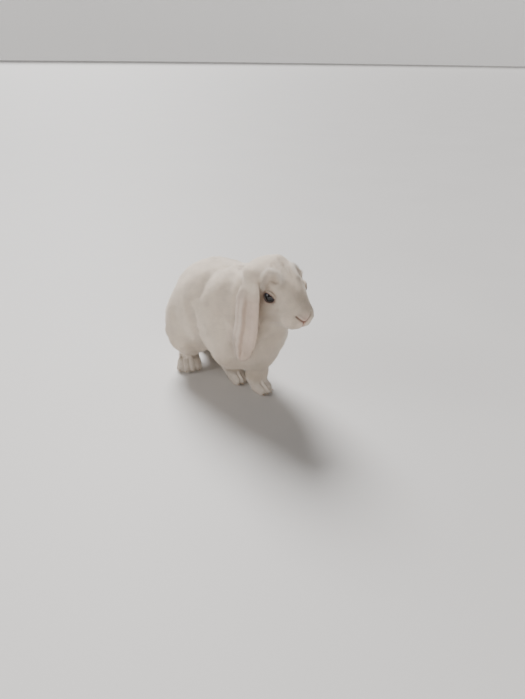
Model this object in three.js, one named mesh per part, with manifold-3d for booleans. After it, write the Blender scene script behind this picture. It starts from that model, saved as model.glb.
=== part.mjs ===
// A lop-eared rabbit, life size, standing with its chest raised on two straight forelegs.
// Millimetres, +Z up. The rabbit faces -Y, so its left side is +X and its right side is -X.
// One smooth body is blended from rounded masses, meshed, and parted with thin straight cuts.
// Legs, feet, tail and ears are cut clear of it. The surface is the outer face of the coat.

import * as THREE from "three";
import { mergeVertices } from "three/addons/utils/BufferGeometryUtils.js";
import Module from "manifold-3d";

const wasm = await Module();
wasm.setup();

// ---------------------------------------------------------------- driving dimensions
const JOINT_GAP = 0.3;          // clear space left by every cut between two sub-parts
const CORE_SWELL = 1.0;         // extra clearance that covers the coarseness of the two meshes
const SOLE_PRESS = 2.5;         // how far the paws are pressed flat by the floor

const BACK_HEIGHT = 194;        // top of the back above the floor
const BELLY_HEIGHT = 46;        // underside of the belly coat above the floor
const TRUNK_WIDTH = 126;
const HAUNCH = { x: 35, y: 36, z: 89, radii: [29, 50, 55] };
const SHOULDER = { x: 31, y: -50, z: 86 };

const HEAD_AT = [3, -124, 184]; // point between the eyes
const HEAD_YAW = -8;            // turned a little to its right, degrees
const HEAD_PITCH = 20;          // nose down, degrees
const HEAD_WIDTH = 70;
const EYE_RADIUS = 8.4;
const EYE_PLACE = [26.5, -10, 1]; // middle of each eye in the head's frame

const EAR_WIDTH = 43;
const EAR_THICKNESS = 9;
const EAR_TURN = 0.14;          // how far the ear's outer face turns to the front
// how each ear hangs below its fold: out from the head, back and down
const EAR_HANG = {
  right: [[15, -7, 24], [17, -5, 69], [16, 12, 123]],
  left: [[10, 14, 26], [17, 30, 68], [19, 46, 116]],
};

// the ball of each paw: places from the midline and from the trunk's middle
const TOES = 4;
const FORE_TOES = { toe: 5.2, spread: 6.8, reach: 17 };
const HIND_TOES = { toe: 6.2, spread: 10.6, reach: 23 };
const FOREPAW = {
  right: { x: -4, y: -35, yaw: -4, ...FORE_TOES },
  left: { x: 2, y: -82, yaw: 2, ...FORE_TOES },
};
const HIND_FOOT = {
  right: { x: -31, y: 52, yaw: -36, ...HIND_TOES },
  left: { x: 35, y: 57, yaw: 10, ...HIND_TOES },
};
const WRIST_HEIGHT = 24;
const CLAW = { length: 10.5, radius: 2.2, droop: 8 };

// cell sizes of the surface mesh, finer where the forms are smaller
const CELL = { trunk: 14, haunch: 11, neck: 12.5, head: 8.1, leg: 9.5, paw: 5.9, foot: 7.2, tail: 11 };

const COAT_COLOR = 0xe9e2d8;
const EAR_COLOR = 0xe6dbd1;
const EYE_COLOR = 0x241d22;
const CLAW_COLOR = 0xcdbba6;

// ---------------------------------------------------------------- rounded masses
const radians = THREE.MathUtils.degToRad;
const SIDES = { right: -1, left: 1 };

/** A placement: a point with pitch (about X), roll (about Y) and yaw (about Z) in degrees. */
function placement(at, pitch = 0, roll = 0, yaw = 0) {
  const turn = new THREE.Euler(radians(pitch), radians(roll), radians(yaw), "ZYX");
  const matrix = new THREE.Matrix4().makeRotationFromEuler(turn);
  return matrix.setPosition(...at);
}

/** Distance to an ellipsoid, good near its surface. */
function ellipsoid(matrix, radii, blend) {
  const inverse = matrix.clone().invert();
  const [rx, ry, rz] = radii;
  const p = new THREE.Vector3();
  const distance = (x, y, z) => {
    p.set(x, y, z).applyMatrix4(inverse);
    const k0 = Math.hypot(p.x / rx, p.y / ry, p.z / rz);
    const k1 = Math.hypot(p.x / (rx * rx), p.y / (ry * ry), p.z / (rz * rz));
    return k1 < 1e-9 ? -Math.min(rx, ry, rz) : (k0 * (k0 - 1)) / k1;
  };
  return { distance, blend };
}

/** Distance to a tapered rod with round ends, from point a (radius ra) to point b (radius rb). */
function rod(a, b, ra, rb, blend) {
  const start = new THREE.Vector3(...a);
  const axis = new THREE.Vector3(...b).sub(start);
  const lengthSq = axis.lengthSq();
  const p = new THREE.Vector3();
  const distance = (x, y, z) => {
    p.set(x, y, z).sub(start);
    const t = THREE.MathUtils.clamp(p.dot(axis) / lengthSq, 0, 1);
    return p.addScaledVector(axis, -t).length() - (ra + (rb - ra) * t);
  };
  return { distance, blend };
}

/** Smooth union of masses: each joins what came before it over its own blend width. */
function blendField(masses) {
  return (x, y, z) => {
    let d = masses[0].distance(x, y, z);
    for (let i = 1; i < masses.length; i++) {
      const e = masses[i].distance(x, y, z);
      const k = masses[i].blend;
      const h = Math.max(k - Math.abs(d - e), 0) / k;
      d = Math.min(d, e) - (h * h * k) / 4;
    }
    return d;
  };
}

// ---------------------------------------------------------------- the body's masses
const headFrame = placement(HEAD_AT, HEAD_PITCH, 0, HEAD_YAW);

/** A mass placed in the head's own frame: nose toward -Y, crown toward +Z. */
function headMass(at, radii, blend, pitch = 0, roll = 0, yaw = 0) {
  return ellipsoid(headFrame.clone().multiply(placement(at, pitch, roll, yaw)), radii, blend);
}

function trunkMasses() {
  const halfWidth = TRUNK_WIDTH / 2;
  const halfHeight = (BACK_HEIGHT - BELLY_HEIGHT) / 2;
  const middle = BELLY_HEIGHT + halfHeight;
  const masses = [
    ellipsoid(placement([0, -8, middle]), [halfWidth, 84, halfHeight], 30),
    ellipsoid(placement([0, 34, middle - 14], 24), [57, 56, 70], 26),
    ellipsoid(placement([0, -62, 118], -28), [48, 46, 60], 34),
    ellipsoid(placement([2, -82, 106], -20), [38, 32, 44], 26),
    ellipsoid(placement([2, -76, 62], -10), [30, 31, 26], 18),
  ];
  for (const side of Object.values(SIDES)) {
    const { x, y, z } = SHOULDER;
    masses.push(ellipsoid(placement([side * x, y, z], -14), [27, 36, 47], 14));
  }
  return masses;
}

/** Thighs, each with the hock that comes down to its hind foot. */
function haunchMasses() {
  const { x, y, z, radii } = HAUNCH;
  const masses = [];
  for (const [name, side] of Object.entries(SIDES)) {
    const foot = HIND_FOOT[name];
    masses.push(ellipsoid(placement([side * x, y, z], 12, 0, side * -6), radii, 7));
    masses.push(rod([side * x, y + 8, 66], [foot.x * 0.8, foot.y + 9, 34], 29, 19, 20));
  }
  return masses;
}

function neckMasses() {
  const [x, y, z] = HEAD_AT;
  return [
    rod([0, -50, 140], [x, y + 36, z - 2], 46, 33, 30),
    rod([2, -90, 122], [x, y + 16, z - 28], 34, 25, 24),
  ];
}

function headMasses() {
  const half = HEAD_WIDTH / 2;
  const masses = [
    headMass([0, 14, 0], [half - 4, 36, 28], 20),
    headMass([0, -18, -1], [24, 35, 25], 18, 14),
    headMass([0, 18, 11], [27, 24, 17], 14),
    headMass([0, -36, -15], [22, 23, 19], 12),
    headMass([0, -30, -26], [18, 22, 13], 10),
  ];
  for (const side of Object.values(SIDES)) {
    masses.push(headMass([side * 17, 4, -19], [20, 31, 23], 14));
    masses.push(headMass([side * 17, -4, 13.5], [9.5, 14, 8], 8));
    masses.push(headMass([side * 12, -43, -15], [14, 15, 14], 8));
  }
  return masses;
}

/** Where the toes of a paw lie in its own frame: they fan out and the outer ones stand back. */
function toePlaces(paw) {
  return Array.from({ length: TOES }, (_, i) => {
    const across = (i - (TOES - 1) / 2) * paw.spread;
    return { across, tip: Math.abs(across) * 0.32 - paw.reach, height: paw.toe - SOLE_PRESS * 0.6 };
  });
}

/** The toes of a paw, as short rounded rods. */
function toeMasses(paw) {
  const frame = pawFrame(paw);
  return toePlaces(paw).map(({ across, tip, height }) => {
    const root = new THREE.Vector3(across * 0.8, tip + 2.4 * paw.toe, paw.toe + 1).applyMatrix4(frame);
    const end = new THREE.Vector3(across, tip, height).applyMatrix4(frame);
    return rod(root.toArray(), end.toArray(), paw.toe + 1, paw.toe, 2.5);
  });
}

function pawFrame(paw) {
  return placement([paw.x, paw.y, 0], 0, 0, paw.yaw);
}

/** Forearm and forepaw of one side, up into the chest. */
function foreLimbMasses(name) {
  const side = SIDES[name];
  const paw = FOREPAW[name];
  const frame = pawFrame(paw);
  const elbow = [side * 24, paw.y * 0.35 - 26, 68];
  return [
    rod(elbow, [paw.x, paw.y + 6, 22], 24, 16.5, 12),
    ellipsoid(frame.clone().multiply(placement([0, -5, 9])), [14.5, 20, 11.5], 6),
    ...toeMasses(paw),
  ];
}

function hindFootMasses(name) {
  const foot = HIND_FOOT[name];
  const frame = pawFrame(foot);
  return [
    ellipsoid(frame.clone().multiply(placement([0, 12, 12])), [17.5, 35, 16], 8),
    ellipsoid(frame.clone().multiply(placement([0, -9, 10])), [19.5, 19, 15], 6),
    ...toeMasses(foot),
  ];
}

const coreField = blendField([...trunkMasses(), ...haunchMasses(), ...neckMasses(), ...headMasses()]);

// ---------------------------------------------------------------- meshing and cutting
/** Meshes the zero surface of a field inside a box, one vertex to each cell that it crosses. */
function surfaceOf(field, low, high, cell) {
  const count = low.map((v, i) => Math.ceil((high[i] - v) / cell) + 1);
  const [nx, ny, nz] = count;
  const at = (i, axis) => low[axis] + i * cell;
  const boxed = (x, y, z) => {
    const outside = Math.max(
      low[0] + cell - x, x - high[0] + cell,
      low[1] + cell - y, y - high[1] + cell,
      low[2] + cell - z, z - high[2] + cell,
    );
    return Math.max(field(x, y, z), outside);
  };
  const index = (i, j, k) => i + nx * (j + ny * k);
  const values = new Float64Array(nx * ny * nz);
  for (let k = 0; k < nz; k++) {
    for (let j = 0; j < ny; j++) {
      for (let i = 0; i < nx; i++) values[index(i, j, k)] = boxed(at(i, 0), at(j, 1), at(k, 2));
    }
  }
  const positions = [];
  const vertexOf = new Map();
  const corners = [0, 1, 2, 3, 4, 5, 6, 7].map((c) => [c & 1, (c >> 1) & 1, (c >> 2) & 1]);
  for (let k = 0; k < nz - 1; k++) {
    for (let j = 0; j < ny - 1; j++) {
      for (let i = 0; i < nx - 1; i++) {
        const sum = new THREE.Vector3();
        let crossings = 0;
        for (const [a, b, c] of corners) {
          for (const [da, db, dc] of [[1, 0, 0], [0, 1, 0], [0, 0, 1]]) {
            if (a + da > 1 || b + db > 1 || c + dc > 1) continue;
            const v0 = values[index(i + a, j + b, k + c)];
            const v1 = values[index(i + a + da, j + b + db, k + c + dc)];
            if (v0 < 0 === v1 < 0) continue;
            const t = v0 / (v0 - v1);
            sum.add(new THREE.Vector3(i + a + da * t, j + b + db * t, k + c + dc * t));
            crossings++;
          }
        }
        if (crossings === 0) continue;
        sum.divideScalar(crossings);
        vertexOf.set(index(i, j, k), positions.length / 3);
        positions.push(low[0] + sum.x * cell, low[1] + sum.y * cell, low[2] + sum.z * cell);
      }
    }
  }
  const faces = [];
  const steps = [[1, 0, 0], [0, 1, 0], [0, 0, 1]];
  for (let k = 1; k < nz - 1; k++) {
    for (let j = 1; j < ny - 1; j++) {
      for (let i = 1; i < nx - 1; i++) {
        for (let axis = 0; axis < 3; axis++) {
          const [di, dj, dk] = steps[axis];
          const inside = values[index(i, j, k)] < 0;
          if (inside === values[index(i + di, j + dj, k + dk)] < 0) continue;
          const u = steps[(axis + 1) % 3];
          const v = steps[(axis + 2) % 3];
          const cellAt = (p, q) => vertexOf.get(
            index(i - p * u[0] - q * v[0], j - p * u[1] - q * v[1], k - p * u[2] - q * v[2]));
          const ring = [cellAt(0, 0), cellAt(1, 0), cellAt(1, 1), cellAt(0, 1)];
          if (!inside) ring.reverse();
          faces.push(ring[0], ring[1], ring[2], ring[0], ring[2], ring[3]);
        }
      }
    }
  }
  for (let n = 0; n < positions.length; n += 3) settle(positions, n, boxed, cell);
  const geometry = new THREE.BufferGeometry();
  geometry.setAttribute("position", new THREE.Float32BufferAttribute(positions, 3));
  geometry.setIndex(faces);
  return geometry;
}

/** Moves one vertex along the field's slope onto its zero surface, by no more than a third of a cell. */
function settle(positions, n, field, cell) {
  const step = cell * 0.05;
  const [x, y, z] = positions.slice(n, n + 3);
  const d = field(x, y, z);
  const slope = new THREE.Vector3(
    field(x + step, y, z) - d, field(x, y + step, z) - d, field(x, y, z + step) - d).divideScalar(step);
  const move = THREE.MathUtils.clamp(-d / Math.max(slope.lengthSq(), 0.2), -cell / 3, cell / 3);
  positions[n] += slope.x * move;
  positions[n + 1] += slope.y * move;
  positions[n + 2] += slope.z * move;
}

/** A closed geometry as a solid that can be cut and joined. */
function solidOf(geometry, matrix) {
  const bare = geometry.clone();
  if (matrix) bare.applyMatrix4(matrix);
  for (const name of ["normal", "uv"]) bare.deleteAttribute(name);
  const welded = mergeVertices(bare, 1e-4);
  const vertProperties = Float32Array.from(welded.getAttribute("position").array);
  const corners = Array.from(welded.index.array);
  const triVerts = [];
  for (let i = 0; i < corners.length; i += 3) {
    const [a, b, c] = corners.slice(i, i + 3);
    if (a !== b && b !== c && c !== a) triVerts.push(a, b, c);
  }
  return new wasm.Manifold(new wasm.Mesh({
    numProp: 3, vertProperties, triVerts: Uint32Array.from(triVerts),
  }));
}

/** A solid back as a geometry. */
function geometryOf(solid) {
  const mesh = solid.getMesh();
  const geometry = new THREE.BufferGeometry();
  geometry.setAttribute("position", new THREE.BufferAttribute(Float32Array.from(mesh.vertProperties), 3));
  geometry.setIndex(new THREE.BufferAttribute(Uint32Array.from(mesh.triVerts), 1));
  return geometry;
}

/** A turned box that bounds one sub-part. */
function cutter(at, size, pitch = 0, roll = 0, yaw = 0) {
  const matrix = placement(at, pitch, roll, yaw);
  const grown = (by) => solidOf(new THREE.BoxGeometry(...size.map((s) => s + 2 * by)), matrix);
  const bounds = new THREE.Box3().setFromBufferAttribute(
    new THREE.BoxGeometry(...size).applyMatrix4(matrix).getAttribute("position"));
  return { grown, bounds };
}

const EYE_IN_HEAD = (side) => {
  const [x, y, z] = EYE_PLACE;
  return new THREE.Vector3(side * x, y, z).applyMatrix4(headFrame);
};

const headCut = [HEAD_AT[0], HEAD_AT[1] - 24, HEAD_AT[2] + 4];
const cuts = {
  head: { ...cutter(headCut, [130, 140, 130], -10, 0, HEAD_YAW), cell: CELL.head },
  neck: { ...cutter([0, -108, 160], [150, 80, 150], -30), cell: CELL.neck },
  hock_right: { ...cutter([-44, 76, 30], [72, 92, 50]), cell: CELL.leg },
  hock_left: { ...cutter([44, 76, 30], [72, 92, 50]), cell: CELL.leg },
  haunch_right: { ...cutter([-70, 60, 70], [60, 130, 150]), cell: CELL.haunch },
  haunch_left: { ...cutter([70, 60, 70], [60, 130, 150]), cell: CELL.haunch },
  trunk: { ...cutter([0, -20, 110], [240, 320, 260]), cell: CELL.trunk },
};

const floorSolid = solidOf(new THREE.BoxGeometry(600, 600, 60), placement([0, 0, -30]));

/** The head, neck, hocks, haunches and trunk: one body parted along the cutters, in order. */
function coreParts() {
  const parts = {};
  const taken = [];
  for (const [name, cut] of Object.entries(cuts)) {
    const room = cut.bounds.clone().expandByScalar(2.5 * cut.cell);
    let solid = solidOf(surfaceOf(coreField, room.min.toArray(), room.max.toArray(), cut.cell));
    solid = solid.intersect(cut.grown(0));
    for (const other of taken) solid = solid.subtract(other.grown(JOINT_GAP));
    taken.push(cut);
    parts[name] = solid;
  }
  return parts;
}

/** The whole core a little swollen: what the limbs, ears and tail are cut away from. */
const swollenCore = solidOf(surfaceOf(
  (x, y, z) => coreField(x, y, z) - JOINT_GAP - CORE_SWELL, [-110, -230, -15], [110, 150, 270], 7.2));

/** Forearms, forepaws, hind feet, claws and tail, each cut clear of what it grows from. */
function limbParts() {
  const parts = {};
  const meshed = (field, low, high, cell) => (
    solidOf(surfaceOf(field, low, high, cell)).subtract(floorSolid).subtract(swollenCore));
  const around = (paw, wide, ahead, behind, top) => [
    [paw.x - wide, paw.y - ahead, -20], [paw.x + wide, paw.y + behind, top],
  ];
  const aboveWrist = cutter([0, 0, WRIST_HEIGHT + 100], [400, 500, 200]).grown(0);
  const belowWrist = cutter([0, 0, WRIST_HEIGHT - JOINT_GAP - 100], [400, 500, 200]).grown(0);
  for (const name of Object.keys(SIDES)) {
    const paw = FOREPAW[name];
    const foot = HIND_FOOT[name];
    const fore = blendField(foreLimbMasses(name));
    const hind = blendField(hindFootMasses(name));
    const foreBox = around(paw, 70, 60, 80, 110);
    const hindBox = around(foot, 60, 60, 90, 90);
    parts[`foreleg_${name}`] = meshed(fore, ...foreBox, CELL.leg).intersect(aboveWrist);
    parts[`forepaw_${name}`] = meshed(fore, ...foreBox, CELL.paw).intersect(belowWrist);
    parts[`hind_foot_${name}`] = meshed(hind, ...hindBox, CELL.foot);
    const swell = (field) => (x, y, z) => field(x, y, z) - JOINT_GAP - 0.2;
    const clawSets = [
      ["fore", paw, solidOf(surfaceOf(swell(fore), ...foreBox, CELL.paw))],
      ["hind", foot, solidOf(surfaceOf(swell(hind), ...hindBox, CELL.foot))],
    ];
    for (const [end, owner, swollenPaw] of clawSets) {
      toePlaces(owner).forEach((place, i) => {
        const claw = solidOf(clawGeometry(owner, place)).subtract(swollenPaw);
        parts[`claw_${end}_${name}_${i + 1}`] = claw;
      });
    }
  }
  const tailMasses = [ellipsoid(placement([0, 84, 74], -16), [16, 16, 25], 8)];
  parts.tail = meshed(blendField(tailMasses), [-40, 50, 20], [40, 130, 130], CELL.tail);
  return parts;
}

// ---------------------------------------------------------------- ears, eyes and claws
/** An ear: a flat rounded leaf along a curve that leaves the crown, folds over and hangs. */
function earGeometry(name) {
  const side = SIDES[name];
  const inHead = (x, y, z) => new THREE.Vector3(side * x, y, z).applyMatrix4(headFrame);
  const root = inHead(14, 26, 18);
  const fold = inHead(36, 20, 10);
  const hang = EAR_HANG[name].map(([out, back, down]) => (
    fold.clone().add(new THREE.Vector3(side * out, back, -down))));
  const route = new THREE.CatmullRomCurve3([root, fold, ...hang]);
  const sphere = new THREE.SphereGeometry(1, 10, 14);
  const position = sphere.getAttribute("position");
  const p = new THREE.Vector3();
  const forward = new THREE.Vector3(-side * EAR_TURN, -1, 0);
  for (let i = 0; i < position.count; i++) {
    p.fromBufferAttribute(position, i);
    const t = (1 - p.y) / 2;
    const ring = Math.hypot(p.x, p.z);
    const wide = ring < 1e-6 ? 0 : p.x / ring;
    const deep = ring < 1e-6 ? 0 : p.z / ring;
    const rounding = Math.sqrt(Math.max(0, 1 - Math.max(0, (t - 0.8) / 0.2) ** 2));
    const leaf = (0.55 + 0.45 * THREE.MathUtils.smoothstep(t, 0.08, 0.58)) * rounding;
    const closed = ring < 1e-6 ? 0 : 1;
    const halfWidth = (EAR_WIDTH / 2) * leaf * closed;
    const halfDepth = (EAR_THICKNESS / 2) * Math.sqrt(rounding) * closed;
    const along = route.getTangent(t);
    const out = new THREE.Vector3().crossVectors(along, forward).normalize().multiplyScalar(side);
    const front = new THREE.Vector3().crossVectors(out, along).normalize().multiplyScalar(side);
    const curl = -0.007 * (wide * halfWidth) ** 2;
    const point = route.getPoint(t)
      .addScaledVector(front, side * wide * halfWidth)
      .addScaledVector(out, deep * halfDepth + curl);
    position.setXYZ(i, point.x, point.y, point.z);
  }
  return sphere;
}

/** A claw: a six-sided cone that points ahead out of the toe and a little down. */
function clawGeometry(paw, { across, tip, height }) {
  const cone = new THREE.ConeGeometry(CLAW.radius, CLAW.length, 6, 1);
  const ahead = -CLAW.length / 2 + tip;
  const inPaw = placement([across, ahead, height], 180 + CLAW.droop);
  return cone.applyMatrix4(pawFrame(paw).multiply(inPaw));
}

function eyeGeometry(name) {
  const at = EYE_IN_HEAD(SIDES[name]);
  return new THREE.SphereGeometry(EYE_RADIUS, 12, 8).translate(at.x, at.y, at.z);
}

const material = (color, roughness) => new THREE.MeshStandardMaterial({ color, roughness, metalness: 0 });
const finishes = {
  coat: material(COAT_COLOR, 0.9),
  ear: material(EAR_COLOR, 0.85),
  eye: material(EYE_COLOR, 0.08),
  claw: material(CLAW_COLOR, 0.45),
};

const rabbit = new THREE.Group();

function addNode(name, solid, finish) {
  const parts = solid.decompose();
  parts.sort((a, b) => b.volume() - a.volume());
  const mesh = new THREE.Mesh(geometryOf(parts[0]), finish);
  mesh.name = name;
  rabbit.add(mesh);
}

const pieces = { ...coreParts(), ...limbParts() };
for (const name of Object.keys(SIDES)) {
  const at = EYE_IN_HEAD(SIDES[name]);
  const socket = new THREE.SphereGeometry(EYE_RADIUS + JOINT_GAP + 0.15, 12, 8).translate(at.x, at.y, at.z);
  pieces.head = pieces.head.subtract(solidOf(socket));
  addNode(`eye_${name}`, solidOf(eyeGeometry(name)), finishes.eye);
  addNode(`ear_${name}`, solidOf(earGeometry(name)).subtract(swollenCore), finishes.ear);
}
for (const [name, solid] of Object.entries(pieces)) {
  addNode(name, solid, name.startsWith("claw") ? finishes.claw : finishes.coat);
}

const box = new THREE.Box3().setFromObject(rabbit);
rabbit.position.set(-(box.min.x + box.max.x) / 2, -(box.min.y + box.max.y) / 2, -box.min.z);

export default rabbit;
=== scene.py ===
"""A life-size lop-eared rabbit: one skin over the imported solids, a coat of solid tufts, eyes, lids, claws
and whiskers, on a plain pale floor in soft studio light."""

import logging
import math
from dataclasses import dataclass, field
from enum import Enum
from typing import Any

import bmesh
import bpy
import numpy as np
from mathutils import Matrix, Vector
from mathutils.bvhtree import BVHTree


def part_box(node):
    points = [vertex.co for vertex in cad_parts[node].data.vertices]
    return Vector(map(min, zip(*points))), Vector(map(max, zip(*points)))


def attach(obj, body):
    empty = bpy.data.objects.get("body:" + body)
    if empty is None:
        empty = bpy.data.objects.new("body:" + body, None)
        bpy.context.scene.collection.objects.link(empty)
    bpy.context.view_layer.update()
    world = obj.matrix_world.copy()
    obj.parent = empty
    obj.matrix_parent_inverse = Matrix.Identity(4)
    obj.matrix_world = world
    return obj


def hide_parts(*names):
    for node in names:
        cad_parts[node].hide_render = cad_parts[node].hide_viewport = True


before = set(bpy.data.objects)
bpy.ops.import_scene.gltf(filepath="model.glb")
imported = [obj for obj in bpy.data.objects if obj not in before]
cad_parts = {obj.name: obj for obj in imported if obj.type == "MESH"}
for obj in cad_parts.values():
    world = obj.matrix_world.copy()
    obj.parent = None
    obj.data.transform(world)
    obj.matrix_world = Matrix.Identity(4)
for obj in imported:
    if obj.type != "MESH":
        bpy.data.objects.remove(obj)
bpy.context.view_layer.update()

logging.basicConfig(level=logging.INFO, format="%(name)s: %(message)s")
log = logging.getLogger("rabbit")

MM = 0.001
UP = np.array([0.0, 0.0, 1.0])
SIDES = {"right": -1.0, "left": 1.0}


class Region(Enum):
    """The kinds of coat that the body wears."""

    TRUNK = 0
    HEAD = 1
    EAR = 2
    LEG = 3
    FOOT = 4
    TAIL = 5


# ------------------------------------------------------------------ small maths
def unit(vectors: np.ndarray) -> np.ndarray:
    """Rows scaled to length one."""
    return vectors / np.maximum(np.linalg.norm(vectors, axis=-1, keepdims=True), 1e-12)


def smooth_step(low: float, high: float, x: np.ndarray) -> np.ndarray:
    """A soft ramp from 0 at low to 1 at high."""
    t = np.clip((x - low) / (high - low), 0.0, 1.0)
    return t * t * (3 - 2 * t)


def bell(distance: np.ndarray, width: float) -> np.ndarray:
    """A soft bump of height one, width at 1/e."""
    return np.exp(-((distance / width) ** 2))


def waves(points: np.ndarray, wavelength: float, seed: int, count: int = 14) -> np.ndarray:
    """A smooth random field about -1 to 1 over points in space.

    Args:
        points: places in metres, one to a row.
        wavelength: the size of its hills in metres.
        seed: which field.
        count: how many plane waves it adds.

    Returns:
        One value for each point.
    """
    rng = np.random.default_rng(seed)
    total = np.zeros(len(points))
    for _ in range(count):
        direction = unit(rng.normal(size=3))
        pitch = 2 * math.pi / wavelength * rng.uniform(0.6, 1.5)
        total += np.sin(points @ direction * pitch + rng.uniform(0, 2 * math.pi))
    return total / math.sqrt(count / 2)


def to_segment(x: np.ndarray, z: np.ndarray, a: tuple[float, float], b: tuple[float, float]) -> np.ndarray:
    """Distance in a plane from points (x, z) to the segment from a to b."""
    ax, az = a
    dx, dz = b[0] - ax, b[1] - az
    t = np.clip(((x - ax) * dx + (z - az) * dz) / (dx * dx + dz * dz), 0, 1)
    return np.hypot(x - ax - t * dx, z - az - t * dz)


def to_path(points: np.ndarray, path: np.ndarray) -> np.ndarray:
    """Distance from points to a path of straight pieces, in any number of dimensions."""
    nearest = np.full(len(points), np.inf)
    for a, b in zip(path[:-1], path[1:]):
        way = b - a
        t = np.clip((points - a) @ way / (way @ way), 0, 1)
        nearest = np.minimum(nearest, np.linalg.norm(points - a - t[:, None] * way, axis=1))
    return nearest


def apart(points: np.ndarray, place: Any) -> np.ndarray:
    """Distance from each point to one place."""
    return np.linalg.norm(points - np.array(place), axis=1)


def linked(name: str, data: Any) -> bpy.types.Object:
    """A new object in the scene."""
    made = bpy.data.objects.new(name, data)
    bpy.context.collection.objects.link(made)
    return made


# ------------------------------------------------------------------ frames of the head and paws
@dataclass(frozen=True)
class Pose:
    """A place with its own axes; points in it are in millimetres, -Y ahead and +Z up."""

    at: np.ndarray
    axes: np.ndarray

    def inward(self, points: np.ndarray) -> np.ndarray:
        """Row points in metres as points of this frame in millimetres."""
        return (points - self.at) @ self.axes / MM

    def outward(self, points: np.ndarray) -> np.ndarray:
        """Points of this frame in millimetres as row points in metres."""
        return points * MM @ self.axes.T + self.at

    def turned(self, vectors: np.ndarray) -> np.ndarray:
        """Directions of this frame as row directions."""
        return vectors @ self.axes.T


def box_middle(node: str) -> np.ndarray:
    """The middle of a CAD node's box in metres."""
    low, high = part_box(node)
    return (np.array(low) + np.array(high)) / 2


@dataclass(frozen=True)
class HeadPlan:
    """Where the head's features lie, in millimetres from the point between the eyes."""

    pitch: float = 20.0
    eye: tuple[float, float, float] = (26.5, -10.0, 1.0)
    eye_radius: float = 8.4
    outlook: tuple[float, float, float] = (0.86, -0.48, 0.14)
    gaze: tuple[float, float, float] = (0.80, -0.58, 0.13)
    opening: tuple[float, float] = (60.0, 43.0)
    nose: tuple[float, float, float] = (0.0, -58.5, -11.0)
    fold: tuple[float, float, float] = (30.5, 26.5, 7.0)
    fold_radii: tuple[float, float, float] = (15.0, 22.5, 15.5)
    left_fold: float = 0.78

    def pose(self) -> Pose:
        """The head's frame, found from its two eyes."""
        right, left = box_middle("eye_right"), box_middle("eye_left")
        across = unit(left - right)
        level = np.array([-across[1], across[0], 0.0])
        pitch = math.radians(self.pitch)
        back = level * math.cos(pitch) + UP * math.sin(pitch)
        axes = np.stack([across, back, np.cross(across, back)], axis=1)
        middle = (right + left) / 2 - axes @ (np.array([0.0, self.eye[1], self.eye[2]]) * MM)
        return Pose(middle, axes)

    def eye_place(self, side: float) -> np.ndarray:
        """An eye's middle in the head's frame."""
        return np.array([side * self.eye[0], self.eye[1], self.eye[2]])

    def eye_axes(self, side: float) -> np.ndarray:
        """Columns: the lids' way out, its up and its forward direction, in the head's frame."""
        out = unit(np.array([side * self.outlook[0], self.outlook[1], self.outlook[2]]))
        up = unit(UP - out * out[2])
        return np.stack([out, up, side * np.cross(out, up)], axis=1)

    def lid_angle(self, turn: np.ndarray) -> np.ndarray:
        """How far the lids stand open, in radians from the eye's axis.

        Args:
            turn: angle about the axis, 0 at the front corner and a quarter turn at the top.

        Returns:
            The angle of the lids' edge: an almond, its front corner low and its upper lid the heavier.
        """
        wide, high = (math.radians(v) for v in self.opening)
        turn = turn + math.radians(14)
        c, s = np.cos(turn), np.sin(turn)
        round_off = 1.0 / np.sqrt((c / wide) ** 2 + (s / (high * (1 - 0.08 * s))) ** 2)
        return round_off * (1 + 0.10 * np.abs(c) ** 8)


    def past_lids(self, local: np.ndarray, side: float) -> tuple[np.ndarray, np.ndarray]:
        """How points lie to one eye.

        Args:
            local: points in the head's frame.
            side: -1 for the right eye, 1 for the left.

        Returns:
            Distance from the eye's middle in millimetres, and radians outside the lids' edge.
        """
        offset = (local - self.eye_place(side)) @ self.eye_axes(side)
        reach = apart(local, self.eye_place(side))
        angle = np.arccos(np.clip(offset[:, 0] / np.maximum(reach, 1e-6), -1, 1))
        return reach, angle - self.lid_angle(np.arctan2(offset[:, 1], offset[:, 2]))


@dataclass(frozen=True)
class PawPlan:
    """One paw: its ball's place in millimetres from the trunk's middle, its turn and its toes."""

    x: float
    y: float
    yaw: float
    toe: float
    spread: float
    reach: float

    def pose(self, middle: np.ndarray) -> Pose:
        """The paw's frame on the floor."""
        turn = math.radians(self.yaw)
        c, s = math.cos(turn), math.sin(turn)
        axes = np.array([[c, -s, 0.0], [s, c, 0.0], [0.0, 0.0, 1.0]])
        return Pose(middle + np.array([self.x, self.y, 0.0]) * MM, axes)


FORE = {"toe": 5.2, "spread": 6.8, "reach": 17.0}
HIND = {"toe": 6.2, "spread": 10.6, "reach": 23.0}
PAWS = {
    "forepaw_right": PawPlan(-4, -35, -4, **FORE),
    "forepaw_left": PawPlan(2, -82, 2, **FORE),
    "hind_foot_right": PawPlan(-31, 52, -36, **HIND),
    "hind_foot_left": PawPlan(35, 57, 10, **HIND),
}
# an ear's surface lies farther out than this, in metres, and its fold line this far back from its middle
EAR_INNER = 0.02
EAR_FOLD = 0.38
# the trunk's middle on the floor, in the frame's own place
TRUNK_MIDDLE = np.array([-0.097, 36.680, 0.0]) * MM


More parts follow.
